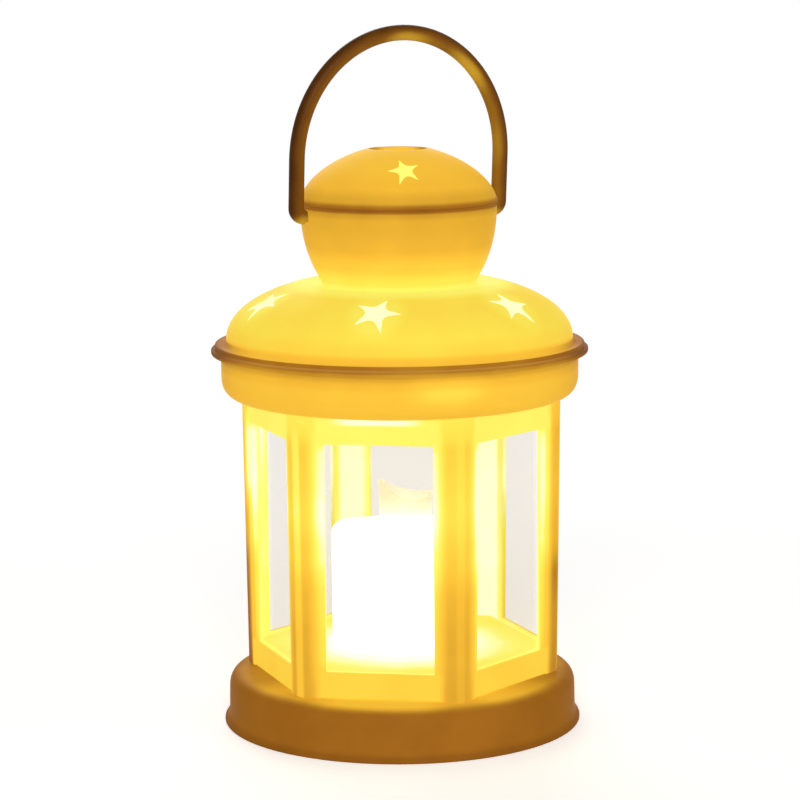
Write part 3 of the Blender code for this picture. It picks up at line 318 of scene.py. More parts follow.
class Look:
    """A Principled material, built node by node from places in the lantern's frame, in mm."""

    def __init__(self, name, roughness, **constants):
        self.material = bpy.data.materials.new(name)
        self.material.use_nodes = True
        self.nodes = self.material.node_tree.nodes
        self.links = self.material.node_tree.links
        self.shader = self.nodes["Principled BSDF"]
        self.shader.inputs["Roughness"].default_value = roughness
        for socket, value in constants.items():
            self.shader.inputs[socket.replace("_", " ")].default_value = value
        coordinates = self.nodes.new("ShaderNodeTexCoord").outputs["Object"]
        scaled = self.nodes.new("ShaderNodeVectorMath")
        scaled.operation = "SCALE"
        scaled.inputs["Scale"].default_value = 1 / MM
        self.links.new(coordinates, scaled.inputs[0])
        self.place = scaled.outputs["Vector"]
        split = self.nodes.new("ShaderNodeSeparateXYZ")
        self.links.new(self.place, split.inputs[0])
        self.x, self.y, self.z = split.outputs
        # What heat_of can raise, for plastic that glows more than its heat says
        self.least_glow = 0.0

    def feed(self, socket, value):
        """Gives a socket a link or a plain number."""
        if isinstance(value, bpy.types.NodeSocket):
            self.links.new(value, socket)
        else:
            socket.default_value = value

    def math(self, operation, *values):
        node = self.nodes.new("ShaderNodeMath")
        node.operation = operation
        for socket, value in zip(node.inputs, values):
            self.feed(socket, value)
        return node.outputs[0]

    def times(self, first, second):
        return self.math("MULTIPLY", first, second)

    def plus(self, first, second):
        return self.math("ADD", first, second)

    def minus(self, first, second):
        return self.math("SUBTRACT", first, second)

    def absolute(self, value):
        return self.math("ABSOLUTE", value)

    def between(self, value, low, high, at_low=0.0, at_high=1.0, smooth=True):
        """Eases from at_low to at_high while value goes from low to high."""
        node = self.nodes.new("ShaderNodeMapRange")
        node.interpolation_type = "SMOOTHSTEP" if smooth else "LINEAR"
        node.clamp = True
        self.feed(node.inputs["Value"], value)
        node.inputs["From Min"].default_value = low
        node.inputs["From Max"].default_value = high
        node.inputs["To Min"].default_value = at_low
        node.inputs["To Max"].default_value = at_high
        return node.outputs["Result"]

    def noise(self, size, detail=2.0, stretch=(1.0, 1.0, 1.0)):
        """Cloudy noise from 0 to 1, with features of about that size in mm."""
        mapping = self.nodes.new("ShaderNodeMapping")
        self.links.new(self.place, mapping.inputs["Vector"])
        mapping.inputs["Scale"].default_value = [share / size for share in stretch]
        node = self.nodes.new("ShaderNodeTexNoise")
        node.inputs["Scale"].default_value = 1.0
        node.inputs["Detail"].default_value = detail
        self.links.new(mapping.outputs["Vector"], node.inputs["Vector"])
        return node.outputs["Fac"]

    def ramp(self, value, stops, smooth="LINEAR"):
        """A colour from (position, colour) stops."""
        node = self.nodes.new("ShaderNodeValToRGB")
        node.color_ramp.interpolation = smooth
        elements = node.color_ramp.elements
        while len(elements) < len(stops):
            elements.new(1.0)
        for element, (position, colour) in zip(elements, stops):
            element.position = position
            element.color = colour
        self.feed(node.inputs["Fac"], value)
        return node.outputs["Color"]

    def mix(self, low, high, share):
        """The number low where share is 0, and high where it is 1."""
        step = self.minus(high, low)
        return self.plus(low, self.times(step, share))

    def by_height(self, stops):
        """A number from (height, number) stops, which run upward."""
        low = stops[0][0]
        high = stops[-1][0]
        share = self.between(self.z, low, high, smooth=False)
        greys = [((height - low) / (high - low), (heat, heat, heat, 1.0)) for height, heat in stops]
        return self.ramp(share, greys, "EASE")

    def scaled(self, colour, amount):
        node = self.nodes.new("ShaderNodeVectorMath")
        node.operation = "SCALE"
        self.feed(node.inputs[0], colour)
        self.feed(node.inputs["Scale"], amount)
        return node.outputs["Vector"]

    def bump(self, height, distance, strength=1.0):
        node = self.nodes.new("ShaderNodeBump")
        node.inputs["Strength"].default_value = strength
        node.inputs["Distance"].default_value = distance * MM
        self.links.new(height, node.inputs["Height"])
        self.links.new(node.outputs["Normal"], self.shader.inputs["Normal"])

    def facing(self, heading):
        """1 where the surface point lies at that heading from the axis, -1 opposite."""
        angle = self.math("ARCTAN2", self.y, self.x)
        return self.math("COSINE", self.minus(angle, math.radians(heading)))

    def sideways(self, heading):
        """The distance from the axis along that heading."""
        x, y = polar(1, heading)
        return self.plus(self.times(self.x, x), self.times(self.y, y))

    def face_turn(self):
        """The angle from the middle of the nearest of the six faces."""
        angle = self.math("ARCTAN2", self.y, self.x)
        return self.math("WRAP", angle, math.radians(30), math.radians(-30))

    def length(self, first, second):
        """The length of the diagonal over two distances at right angles."""
        squares = self.plus(self.times(first, first), self.times(second, second))
        return self.math("SQRT", squares)

    def radius(self):
        """The distance from the lantern's axis."""
        return self.length(self.x, self.y)

    def glow(self, colour, strength, body=1.0):
        """Lights the plastic from inside: the same colour is reflected and given off."""
        self.feed(self.shader.inputs["Base Color"], self.scaled(colour, body))
        self.feed(self.shader.inputs["Emission Color"], colour)
        self.shader.inputs["Emission Strength"].default_value = strength


# How lit plastic looks, from hardly lit to right beside the lamp. This painted light of the candle is called
# heat below.
HEAT = [
    (0.00, srgb(120, 70, 20)),
    (0.12, srgb(165, 105, 30)),
    (0.28, srgb(220, 165, 48)),
    (0.42, srgb(247, 188, 56)),
    (0.55, srgb(255, 203, 64)),
    (0.70, srgb(255, 228, 80)),
    (0.84, srgb(255, 247, 108)),
    (1.00, srgb(255, 255, 205)),
]
# Emission strength, share of the colour that is reflected, and specular level of lit plastic
GLOW = 0.76
BODY_SHARE = 0.25
SHINE = 0.006
# From this heat up, plastic starts to shine by itself, up to HOT_GLOW
HOT_START = 0.86
HOT_END = 0.96
HOT_GLOW = 1.1
# Headings of the photographed side, of its right, and of the posts that end it left and right
FRONT = 249.0
RIGHT = 339.0
LEFT_END_POST = 150.0
RIGHT_END_POST = 330.0
FRONT_LEFT_POST = 210.0

# Heat by height in mm, along the outside of each piece
ROOF_HEATS = [
    (96.0, 1.0),
    (101.1, 0.95),
    (101.2, 0.10),
    (102.2, 0.10),
    (103.0, 0.46),
    (105.0, 0.62),
    (109.0, 0.68),
    (116.5, 0.67),
    (118.0, 0.82),
    (119.5, 0.72),
    (124.0, 0.56),
    (129.0, 0.38),
    (136.0, 0.33),
    (137.8, 0.25),
    (138.8, 0.07),
    (140.8, 0.07),
]
CAP_HEATS = [
    (139.1, 0.05),
    (139.7, 0.12),
    (141.2, 0.29),
    (145.0, 0.42),
    (150.0, 0.49),
    (154.0, 0.50),
]
BAND_HEATS = [
    (87.4, 0.60),
    (88.6, 0.48),
    (92.0, 0.49),
    (95.0, 0.50),
    (97.2, 0.42),
    (98.8, 0.30),
    (99.7, 0.20),
    (100.3, 0.15),
    (100.9, 0.10),
]
POST_HEATS = [
    (14.0, 0.30),
    (20.0, 0.31),
    (27.0, 0.32),
    (40.0, 0.38),
    (52.0, 0.56),
    (63.0, 0.65),
    (71.0, 0.62),
    (79.0, 0.60),
    (84.0, 0.71),
    (87.0, 0.74),
]

# Light on the band: distance to the right, height, radius and added heat
PATCH_RIGHT = 12.5
PATCH_HEIGHT = 95.4
PATCH_RADIUS = 15.0
PATCH_FLATNESS = 2.4
PATCH_HEAT = 0.16
# Light on the bail: x, height, radius and added heat
BAIL_SPOTS = ((1.0, 182.0, 8.0, 0.30), (18.6, 174.0, 9.0, 0.34), (28.0, 154.0, 9.0, 0.08))
# The star of light in the flame cup: distance to the right, and height
SPARK_RIGHT = 0.8
SPARK_HEIGHT = 52.6
# Glow round the roof's stars: outer and inner radius, and added heat
HALO_OUTER = 9.0
HALO_INNER = 4.5
HALO_HEAT = 0.07


def lit_plastic(name, heat_of, glow=GLOW, share=BODY_SHARE):
    """Gold plastic with the light of the candle behind it. heat_of(look) gives its heat."""
    look = Look(name, 0.42, Specular_IOR_Level=SHINE)
    heat = heat_of(look)
    mottle = look.between(look.noise(16, 3), 0.3, 0.7, -0.02, 0.02)
    heat = look.plus(heat, mottle)
    look.glow(look.ramp(heat, HEAT), glow, share)
    strength = look.between(heat, HOT_START, HOT_END, glow, max(glow, HOT_GLOW))
    strength = look.math("MAXIMUM", strength, look.least_glow)
    look.feed(look.shader.inputs["Emission Strength"], strength)
    look.bump(look.noise(0.7, 3), 0.02)
    return look.material


def roof_heat(look):
    """Painted light: bright at the neck and dark on the lip, with a lit shelf in front, the rim lighter in
    front than behind, and a halo round each star.
    """
    skin = look.by_height(ROOF_HEATS)
    shelf = look.times(look.between(look.radius(), 48.7, 47.8), look.between(look.z, 101.9, 102.1))
    foot = look.times(shelf, look.between(look.z, 104.0, 103.0))
    # Painted light on the rim: lighter towards the front, darker behind
    front = look.between(look.facing(FRONT), 0.3, 0.9, -0.05, 0.04)
    rim = look.times(look.between(look.z, 102.8, 102.2), front)
    side = look.times(look.radius(), look.math("SINE", look.face_turn()))
    away = look.length(look.minus(look.radius(), ROOF_STAR_DISTANCE), side)
    halo = look.between(away, HALO_OUTER, HALO_INNER, 0.0, HALO_HEAT)
    halo = look.times(halo, look.between(look.z, 104, 106))
    shelf_heat = look.between(look.facing(FRONT), 0.1, 0.7, 0.18, 0.45)
    return look.plus(look.mix(skin, shelf_heat, foot), look.plus(rim, halo))


def cap_heat(look):
    """Dark at its edge and round the vent, with light on the vent's far wall."""
    skin = look.by_height(CAP_HEATS)
    radius = look.radius()
    skin = look.mix(skin, 0.22, look.between(radius, 8.0, 7.7))
    middle = look.between(look.absolute(look.sideways(RIGHT)), 6.5, 3.0, 0.20, 0.44)
    return look.mix(skin, middle, look.between(radius, 7.62, 7.5))


def band_heat(look):
    """Painted shade towards the sides, painted light on the rim in front, and one painted bright patch right
    of the middle.
    """
    skin = look.by_height(BAND_HEATS)
    front = look.facing(FRONT)
    # Painted shade towards the sides, away from the front, and painted light on the rim in front
    sides = look.between(front, 0.65, 0.15, 0.0, -0.13)
    rim = look.times(look.between(look.z, 99.4, 100.0), look.between(front, 0.3, 0.9, 0.0, 0.05))
    # Painted bright patch of light right of the middle
    across = look.minus(look.sideways(RIGHT), PATCH_RIGHT)
    rise = look.times(look.minus(look.z, PATCH_HEIGHT), PATCH_FLATNESS)
    spread = look.length(across, rise)
    patch = look.between(spread, PATCH_RADIUS, 1, 0.0, PATCH_HEAT)
    patch = look.times(patch, look.between(front, 0.2, 0.5))
    extra = look.plus(look.plus(sides, rim), patch)
    return look.plus(skin, extra)


def body_heat(look):
    """Painted light of the candle: brightest on the inside and beside the windows, and darker out on the
    posts, with painted highlights on the corner facets, painted shade on the end posts and inside at the back
    left, and a painted highlight line along the top of the front panel.
    """
    turn = look.face_turn()
    radius = look.radius()
    depth = look.times(radius, look.math("COSINE", turn))
    side = look.times(radius, look.math("SINE", turn))
    away = look.absolute(side)
    corner = look.absolute(turn)
    # Painted highlights on the corner facets, strongest on the front left post
    facet = look.between(corner, math.radians(27.8), math.radians(29.2))
    left = look.between(look.facing(FRONT_LEFT_POST), 0.80, 0.95)
    outer_left = look.between(look.facing(153), 0.93, 0.98)
    post = look.by_height(POST_HEATS)
    facet = look.times(facet, look.between(look.z, 86, 78))
    post = look.plus(post, look.times(facet, look.mix(0.06, 0.20, left)))
    left_shade = look.between(look.z, 54, 72, 0.24, 0.10)
    right_shade = look.between(look.z, 26, 46, 0.10, 0.22)
    for heading, full, amount in (
        (LEFT_END_POST, 25.5, left_shade),
        (RIGHT_END_POST, 27.5, right_shade),
    ):
        near = look.between(corner, math.radians(20.5), math.radians(full))
        near = look.times(near, look.between(look.facing(heading), 0.94, 0.985))
        post = look.minus(post, look.times(near, amount))
    beside_left = look.between(side, -19.2, -14.4, 0.0, 0.36)
    far_left = look.times(look.between(side, -19.8, -17.0, 0.0, 0.36), outer_left)
    far_left = look.times(far_left, look.between(look.z, 50, 66))
    beside_left = look.math("MAXIMUM", beside_left, far_left)
    beside_right = look.between(side, 18.4, 14.2, 0.0, 0.32)
    beside = look.mix(beside_left, beside_right, look.between(side, -0.1, 0.1))
    window_height = look.times(look.between(look.z, 15, 25, 0.5, 1.0), look.between(look.z, 86, 78))
    outside = look.plus(post, look.times(beside, window_height))
    panel = look.between(away, 17.2, 15.2)
    outside = look.mix(outside, 0.82, look.times(look.between(look.z, 78, 82), panel))
    outside = look.mix(outside, 0.59, look.times(look.between(look.z, 22.5, 20.2), panel))
    # Painted highlight line along the top of the front panel
    header_highlight = look.times(look.between(look.z, 85.0, 86.2), look.between(away, 15, 5))
    header_highlight = look.times(header_highlight, look.between(look.facing(243), 0.85, 0.97))
    outside = look.mix(outside, 1.0, header_highlight)
    inside = look.between(away, 14.4, 17.0, 0.86, 1.0)
    # Painted shade inside, at the back left
    back_left = look.times(look.between(look.facing(LEFT_END_POST), 0.75, 0.9), look.between(look.z, 82, 60))
    inside = look.mix(inside, 0.85, back_left)
    look.least_glow = look.between(depth, 36.3, 35.2, 0.0, 1.02)
    return look.mix(inside, outside, look.between(depth, 34.9, 36.3))


def tray_heat(look):
    """White hot beside the candle, so that its foot melts into the tray's glow."""
    look.least_glow = look.between(look.radius(), 26, 18.5, 0.0, 1.7)
    return look.between(look.radius(), 19, 34, 1.0, 0.80)


def base_plastic(name):
    """Bronze gold that glows a little, with painted light from the lantern on the shelf before the windows,
    painted shadows of the posts across it, and darker towards the foot.
    """
    look = Look(name, 0.42, Specular_IOR_Level=SHINE)
    radius = look.radius()
    shelf = look.between(look.z, 9.0, 13.4)
    near = look.between(radius, 46.2, 42.0)
    lit = look.between(look.facing(FRONT), 0.3, 0.95, 0.09, 0.45)
    # Painted shadows of the posts across the lit shelf
    corner = look.absolute(look.face_turn())
    posts = look.between(corner, math.radians(14), math.radians(28), 1.0, 0.62)
    lit = look.times(lit, posts)
    heat = look.plus(0.11, look.times(look.times(shelf, near), lit))
    foot = look.between(look.z, 0.0, 3.0, -0.06, 0.0)
    heat = look.plus(heat, foot)
    mottle = look.between(look.noise(14, 3), 0.3, 0.7, -0.012, 0.012)
    look.glow(look.ramp(look.plus(heat, mottle), HEAT), 0.45, 0.55)
    look.bump(look.noise(0.6, 3), 0.02)
    return look.material


def bail_plastic(name):
    """Dark bronze that glows faintly, with painted light from the lantern on its inner side, on its feet and
    on its right, and painted shade along its outer edge.
    """
    look = Look(name, 0.34, Specular_IOR_Level=0.03)
    heat = look.between(look.noise(9, 2), 0.3, 0.7, -0.02, 0.02)
    across = look.math("DIVIDE", look.x, BAIL_HALF_SPAN)
    rise = look.math("MAXIMUM", look.minus(look.z, BAIL_SPRING_LINE), 0.0)
    up = look.math("DIVIDE", rise, BAIL_APEX - BAIL_SPRING_LINE)
    reach = look.length(across, up)
    inner = look.between(reach, 1.04, 0.95)
    spots = look.times(inner, 0.12)
    for x, z, size, amount in BAIL_SPOTS:
        away = look.length(look.minus(look.x, x), look.minus(look.z, z))
        spot = look.times(look.between(away, size, 0.0), amount)
        spots = look.plus(spots, look.times(spot, inner))
    feet = look.between(look.absolute(look.x), 31.0, 27.5, 0.14, 0.48)
    feet = look.times(look.between(look.z, 137.6, 133.6), feet)
    # Painted light on the bail's right side
    warm = look.between(look.x, -30, 30, 0.0, 0.05)
    total = look.plus(look.plus(heat, spots), look.plus(feet, warm))
    # Painted shade along the bail's outer edge
    edge = look.between(reach, 1.07, 1.02, 0.55, 1.0)
    look.glow(look.scaled(look.ramp(total, HEAT), edge), 0.20, 0.36)
    look.bump(look.noise(0.8, 3), 0.02)
    return look.material


def inner_plastic(name):
    """The inner side of the roof and the cap, right over the flame, glowing with painted light: white low
    down near the flame, gold further up.
    """
    look = Look(name, 0.5, Specular_IOR_Level=SHINE)
    # Painted light of the flame, fading with height
    light_falloff = look.between(look.z, 90, 150)
    colour = look.ramp(light_falloff, [
        (0.0, srgb(255, 255, 205)),
        (0.5, srgb(255, 252, 185)),
        (1.0, srgb(255, 244, 118)),
    ])
    look.glow(colour, 0.85, 0.3)
    look.bump(look.noise(0.7, 3), 0.02)
    return look.material


def candle_plastic(name):
    """White hot, and a little warmer at its foot."""
    look = Look(name, 0.5)
    colour = look.ramp(look.between(look.z, CANDLE_BOTTOM, 24.0), [
        (0.0, srgb(255, 252, 190)),
        (0.4, srgb(255, 254, 235)),
        (0.8, srgb(255, 255, 252)),
        (1.0, srgb(255, 255, 255)),
    ])
    look.glow(colour, 1.05, 0.9)
    look.bump(look.noise(3, 3), 0.05)
    return look.material


def flame_plastic(name):
    """Peach-coloured and see-through, with a star of light low in its middle."""
    look = Look(name, 0.4, Alpha=0.5)
    colour = look.ramp(look.between(look.z, 50.0, 62.0), [
        (0.0, srgb(255, 255, 252)),
        (0.48, srgb(255, 255, 245)),
        (0.66, srgb(255, 243, 212)),
        (1.0, srgb(250, 226, 188)),
    ])
    across = look.minus(look.sideways(RIGHT), SPARK_RIGHT)
    rise = look.minus(look.z, SPARK_HEIGHT)
    spread = look.length(across, rise)
    rays = look.between(look.absolute(look.times(across, rise)), 4.0, 0.0)
    spark = look.times(rays, look.between(spread, 7.5, 1.0))
    spark = look.math("MAXIMUM", spark, look.between(spread, 3.5, 1.0))
    tint = look.nodes.new("ShaderNodeMix")
    tint.data_type = "RGBA"
    look.feed(tint.inputs["Factor"], spark)
    look.feed(tint.inputs["A"], colour)
    tint.inputs["B"].default_value = srgb(255, 255, 240)
    look.glow(tint.outputs["Result"], 0.6, 0.55)
    look.feed(look.shader.inputs["Alpha"], look.mix(0.45, 0.9, spark))
    look.bump(look.noise(2, 2), 0.05)
    return look.material


def lamp_lens(name):
    look = Look(name, 0.2)
    colour = look.ramp(look.between(look.z, 45, 54), [(0.0, srgb(255, 230, 150)), (1.0, srgb(255, 255, 235))])
    look.glow(colour, 1.6, 0.8)
    return look.material


def pane_sheet(name):
    """Clear sheet, a little warm from the light inside, and clearest where it lies on the posts."""
    look = Look(name, 0.08, IOR=1.45, Specular_IOR_Level=0.3)
    tint = look.ramp(look.noise(30, 2), [(0.3, srgb(180, 146, 40)), (0.7, srgb(192, 158, 50))])
    look.feed(look.shader.inputs["Base Color"], tint)
    turn = look.face_turn()
    side = look.times(look.radius(), look.math("SINE", turn))
    inside = look.between(look.absolute(side), WINDOW_WIDTH / 2 + 0.1, WINDOW_WIDTH / 2 - 0.1)
    high = look.between(look.z, WINDOW_TOP + 0.1, WINDOW_TOP - 0.1)
    low = look.between(look.z, WINDOW_BOTTOM - 0.1, WINDOW_BOTTOM + 0.1)
    share = look.times(inside, look.times(high, low))
    look.feed(look.shader.inputs["Alpha"], look.mix(0.01, 0.07, share))
    return look.material


def plain_plastic(name, colour, roughness, size=1.2):
    """Moulded plastic with a fine grain and slightly uneven colour."""
    look = Look(name, roughness)
    shade = look.between(look.noise(size * 6, 3), 0.3, 0.7, 0.88, 1.08)
    look.feed(look.shader.inputs["Base Color"], look.scaled(colour[:3], shade))
    look.bump(look.noise(size, 3), 0.02)
    return look.material


def plated_steel(name):
    look = Look(name, 0.3, Metallic=1.0)
    shade = look.between(look.noise(1.5, 3, (1, 8, 1)), 0.3, 0.7, 0.85, 1.05)
    look.feed(look.shader.inputs["Base Color"], look.scaled((0.72, 0.70, 0.66), shade))
    look.bump(look.noise(0.5, 2, (1, 8, 1)), 0.01)
    return look.material


def superellipse(radius, height, power, last, steps):
    """(radius, height) points from the widest place up, evenly turned to the angle last."""
    points = []
    for step in range(steps + 1):
        turn = math.radians(last) * step / steps
        points.append((radius * math.cos(turn) ** (2 / power), height * math.sin(turn) ** (2 / power)))
    return points


def offset(points, distance):
    """The same line moved to its inner side."""
    moved = []
    for index, point in enumerate(points):
        before = Vector(points[max(index - 1, 0)])
        after = Vector(points[min(index + 1, len(points) - 1)])
        along = (after - before).normalized()
        moved.append(tuple(Vector(point) + Vector((-along.y, along.x)) * distance))
    return moved


def plain(points):
    return [(radius, height, 0.0) for radius, height in points]


def star_tool(look, radius, distance, height, heading, turn):
    """An upright star-shaped bar: the mould that forms these openings lifts straight up."""
    outline = []
    for tip in range(5):
        start = Vector(polar(radius, 72 * tip))
        end = Vector(polar(radius, 72 * tip + 72))
        waist = Vector(polar(radius * STAR_WAIST, 72 * tip + 36))
        leave = start.lerp(waist, STAR_STRAIGHT)
        meet = end.lerp(waist, STAR_STRAIGHT)
        outline.append(tuple(start))
        for step in range(STAR_STEPS + 1):
            share = step / STAR_STEPS
            outline.append(tuple(leave.lerp(waist, share).lerp(waist.lerp(meet, share), share)))
    tool = prism("star", outline, outline, -STAR_REACH, STAR_REACH, look)
    x, y = polar(distance, heading)
    spin = Matrix.Rotation(math.radians(heading + turn), 4, "Z")
    tool.data.transform(Matrix.Translation(Vector((x, y, height)) * MM) @ spin)
    return tool


def dome_height(radius):
    return DOME_FOOT + DOME_RISE * (1 - (radius / DOME_RADIUS) ** DOME_POWER) ** (1 / DOME_POWER)


def cap_height(radius):
    return CAP_BOTTOM + CAP_RISE * (1 - (radius / CAP_RADIUS) ** CAP_POWER) ** (1 / CAP_POWER)


def bowl_radius(height):
    return BOWL_RADIUS * (1 - ((BOWL_TOP - height) / BOWL_DEPTH) ** BOWL_POWER) ** (1 / BOWL_POWER)


def base_round(look):
    inner = BASE_RADIUS - BASE_WALL
    profile = rounded([
        (inner, 0.0, 0.0),
        (FOOT_RADIUS, 0.0, 0.35),
        (FOOT_RADIUS, FOOT_HEIGHT, 0.35),
        (BASE_RADIUS + 0.35, FLARE_HEIGHT * 0.5, 0.6),
        (BASE_RADIUS, FLARE_HEIGHT, 1.0),
        (BASE_RADIUS - 0.15, BASE_HEIGHT, BASE_SHOULDER),
        (DECK_HOLE_RADIUS, BASE_HEIGHT, 0.0),
        (DECK_HOLE_RADIUS, BASE_HEIGHT - BASE_WALL, 0.0),
        (inner, BASE_HEIGHT - BASE_WALL, BASE_SHOULDER - BASE_WALL),
    ], 10)
    piece = lathe("base_round", profile, look)
    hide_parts("base_shell")
    return piece


def band_round(look, inside):
    inner = BAND_RADIUS - BAND_WALL
    outer = rounded([
        (BAND_MOUTH_RADIUS, BAND_BOTTOM, 0.3),
        (BAND_RADIUS, BAND_BOTTOM, BAND_ROUND * 1.15),
        (BAND_RADIUS, LOWER_LIP_BOTTOM - 0.3, 0.6),
        (LOWER_LIP_RADIUS, LOWER_LIP_BOTTOM, 0.5),
        (LOWER_LIP_RADIUS, LOWER_LIP_TOP, 0.35),
        (inner, LOWER_LIP_TOP, 0.0),
    ], 10)
    inward = rounded([
        (inner, LOWER_LIP_TOP - 0.1, 0.0),
        (inner, BAND_BOTTOM + BAND_WALL, BAND_ROUND - BAND_WALL),
        (BAND_MOUTH_RADIUS, BAND_BOTTOM + BAND_WALL, 0.3),
    ], 10)
    piece = lathe("band_round", outer + inward, look, inner=inside, inner_from=len(outer) - 1)
    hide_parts("upper_band")
    return piece


def roof_round(look, inside):
    last = math.degrees(math.acos((DOME_CREST_RADIUS / DOME_RADIUS) ** (DOME_POWER / 2)))
    dome = [(r, DOME_FOOT + h) for r, h in superellipse(DOME_RADIUS, DOME_RISE, DOME_POWER, last, DOME_STEPS)]
    steps = BOWL_STEPS
    heights = [NECK_HEIGHT + (BOWL_TOP - NECK_HEIGHT) * step / steps for step in range(steps + 1)]
    bowl = [(bowl_radius(height), height) for height in heights]
    spigot = BAND_RADIUS - BAND_WALL - GAP
    profile = [(UPPER_LIP_RADIUS, ROOF_BOTTOM, 0.35), (UPPER_LIP_RADIUS, DOME_FOOT, 0.4)]
    profile += [(DOME_RADIUS, DOME_FOOT, 0.9)] + plain(dome[4:])
    profile += [(bowl[0][0] + 0.1, bowl[0][1] - 0.3, 1.2)] + plain(bowl[2:])
    profile += [(STEP_RADIUS, BOWL_TOP, 0.2), (STEP_RADIUS, BOWL_TOP + STEP_HEIGHT, 0.2)]
    outer = rounded(profile)
    step_bore = STEP_RADIUS - STEP_WALL
    inner_bowl = list(reversed(offset(bowl, ROOF_WALL)))
    inner_bowl = [point for point in inner_bowl if NECK_HEIGHT + 0.5 < point[1] < BOWL_TOP - 2]
    inner_dome = [point for point in reversed(offset(dome, ROOF_WALL)) if point[1] > DOME_FOOT + 0.5]
    foot = ROOF_BOTTOM - ROOF_SPIGOT_DEPTH
    profile = [(step_bore, BOWL_TOP + STEP_HEIGHT, 0.2), (step_bore, BOWL_TOP - 1.6, 0.2)] + plain(inner_bowl)
    profile += [(bowl[0][0] - ROOF_WALL, NECK_HEIGHT - ROOF_WALL, 0.8)] + plain(inner_dome)
    profile += [(spigot - ROOF_WALL, ROOF_BOTTOM, 0.3), (spigot - ROOF_WALL, foot, 0.3)]
    profile += [(spigot, foot, 0.3), (spigot, ROOF_BOTTOM, 0.1)]
    piece = lathe("roof_round", outer + rounded(profile), look, inner=inside, inner_from=len(outer) - 1)
    tools = []
    for index in range(ROOF_STAR_COUNT):
        heading = 360 / ROOF_STAR_COUNT * index
        place = (ROOF_STAR_DISTANCE, dome_height(ROOF_STAR_DISTANCE), heading, ROOF_STAR_TURN)
        tools.append(star_tool(inside, ROOF_STAR_RADIUS, *place))
    for side in (-1, 1):
        hole = [polar(PIVOT_HOLE_RADIUS, 360 / 32 * step) for step in range(32)]
        tool = prism("pivot_hole", hole, hole, 15, 35, look)
        turned = Matrix.Rotation(math.radians(90 * side), 4, "Y")
        tool.data.transform(Matrix.Translation((0, 0, PIVOT_HEIGHT * MM)) @ turned)
        tools.append(tool)
    cut(piece, tools)
    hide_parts("roof")
    return piece


def cap_round(look, inside):
    last = math.degrees(math.acos((VENT_FLAT_RADIUS / CAP_RADIUS) ** (CAP_POWER / 2)))
    skin = [(r, CAP_BOTTOM + h) for r, h in superellipse(CAP_RADIUS, CAP_RISE, CAP_POWER, last, CAP_STEPS)]
    skin = [point for point in skin if point[1] > CAP_BOTTOM + CAP_BEAD_HEIGHT + 0.3]
    crown = cap_height(VENT_FLAT_RADIUS)
    bead = CAP_RADIUS + CAP_BEAD
    profile = [(bead, CAP_BOTTOM, 0.3), (bead, CAP_BOTTOM + CAP_BEAD_HEIGHT, 0.3)] + plain(skin)
    profile += [(VENT_RADIUS, crown + 0.1, 0.6), (VENT_RADIUS, crown - CAP_WALL, 0.3)]
    outer = rounded(profile)
    inner = superellipse(CAP_RADIUS - CAP_WALL, CAP_RISE - CAP_WALL, CAP_POWER, 90, 30)
    inner = [(r, CAP_BOTTOM + h) for r, h in inner if r > VENT_RADIUS + 1.0]
    inner.reverse()
    piece = lathe("cap_round", outer + inner, look, inner=inside, inner_from=len(outer) - 1)
    tools = []
    for index in range(CAP_STAR_COUNT):
        heading = CAP_STAR_HEADING + 360 / CAP_STAR_COUNT * index
        place = (CAP_STAR_DISTANCE, cap_height(CAP_STAR_DISTANCE), heading, CAP_STAR_TURN)
        tools.append(star_tool(inside, CAP_STAR_RADIUS, *place))
    cut(piece, tools)
    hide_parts("cap")
    return piece


def body_outline(corner):
    """Hexagon with a facet on each corner and posts that stand proud of the panels."""
    apothem = (corner + CORNER_FACET / 2 * math.tan(math.radians(30))) * math.cos(math.radians(30))
    half_side = apothem * math.tan(math.radians(30))
    facet_run = CORNER_FACET / 2 / math.cos(math.radians(30))
    post_edge = half_side - facet_run - POST_FACE
    panel = apothem - POST_PROUD
    points = []
    for face in range(6):
        normal = Vector(polar(1, 60 * face))
        along = Vector((-normal.y, normal.x))
        run = (
            (apothem, -(half_side - facet_run)),
            (apothem, -post_edge),
            (panel, -post_edge),
            (panel, post_edge),
            (apothem, post_edge),
            (apothem, half_side - facet_run),
        )
        points.extend(tuple(normal * depth + along * side) for depth, side in run)
    return points


def body_walls(look):
    bottom = body_outline(BODY_CORNER_BOTTOM)
    top = body_outline(BODY_CORNER_TOP)
    piece = prism("body_walls", bottom, top, BODY_BOTTOM, BODY_TOP, look)
    corner = CAVITY_APOTHEM / math.cos(math.radians(30))
    cavity = [polar(corner, 30 + 60 * index) for index in range(6)]
    tools = [prism("cavity", cavity, cavity, BODY_BOTTOM - 1, BODY_TOP + 1)]
    half = WINDOW_WIDTH / 2
    reach = 2 * BODY_CORNER_TOP
    across = [(-reach, -half), (reach, -half), (reach, half), (-reach, half)]
    for face in range(3):
        tool = prism("window", across, across, WINDOW_BOTTOM, WINDOW_TOP)
        tool.data.transform(Matrix.Rotation(math.radians(60 * face), 4, "Z"))
        tools.append(tool)
    cut(piece, tools)
    bevel(piece, 0.35)
    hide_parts("body_frame")
    return piece


def candle_wave(angle, height):
    """The rim of the candle rises and falls a little, like melted wax."""
    if height < CANDLE_TOP - CANDLE_EDGE:
        return 0.0
    return CANDLE_WAVE * (math.cos(3 * angle - 0.6) + 0.6 * math.cos(5 * angle + 1.1))


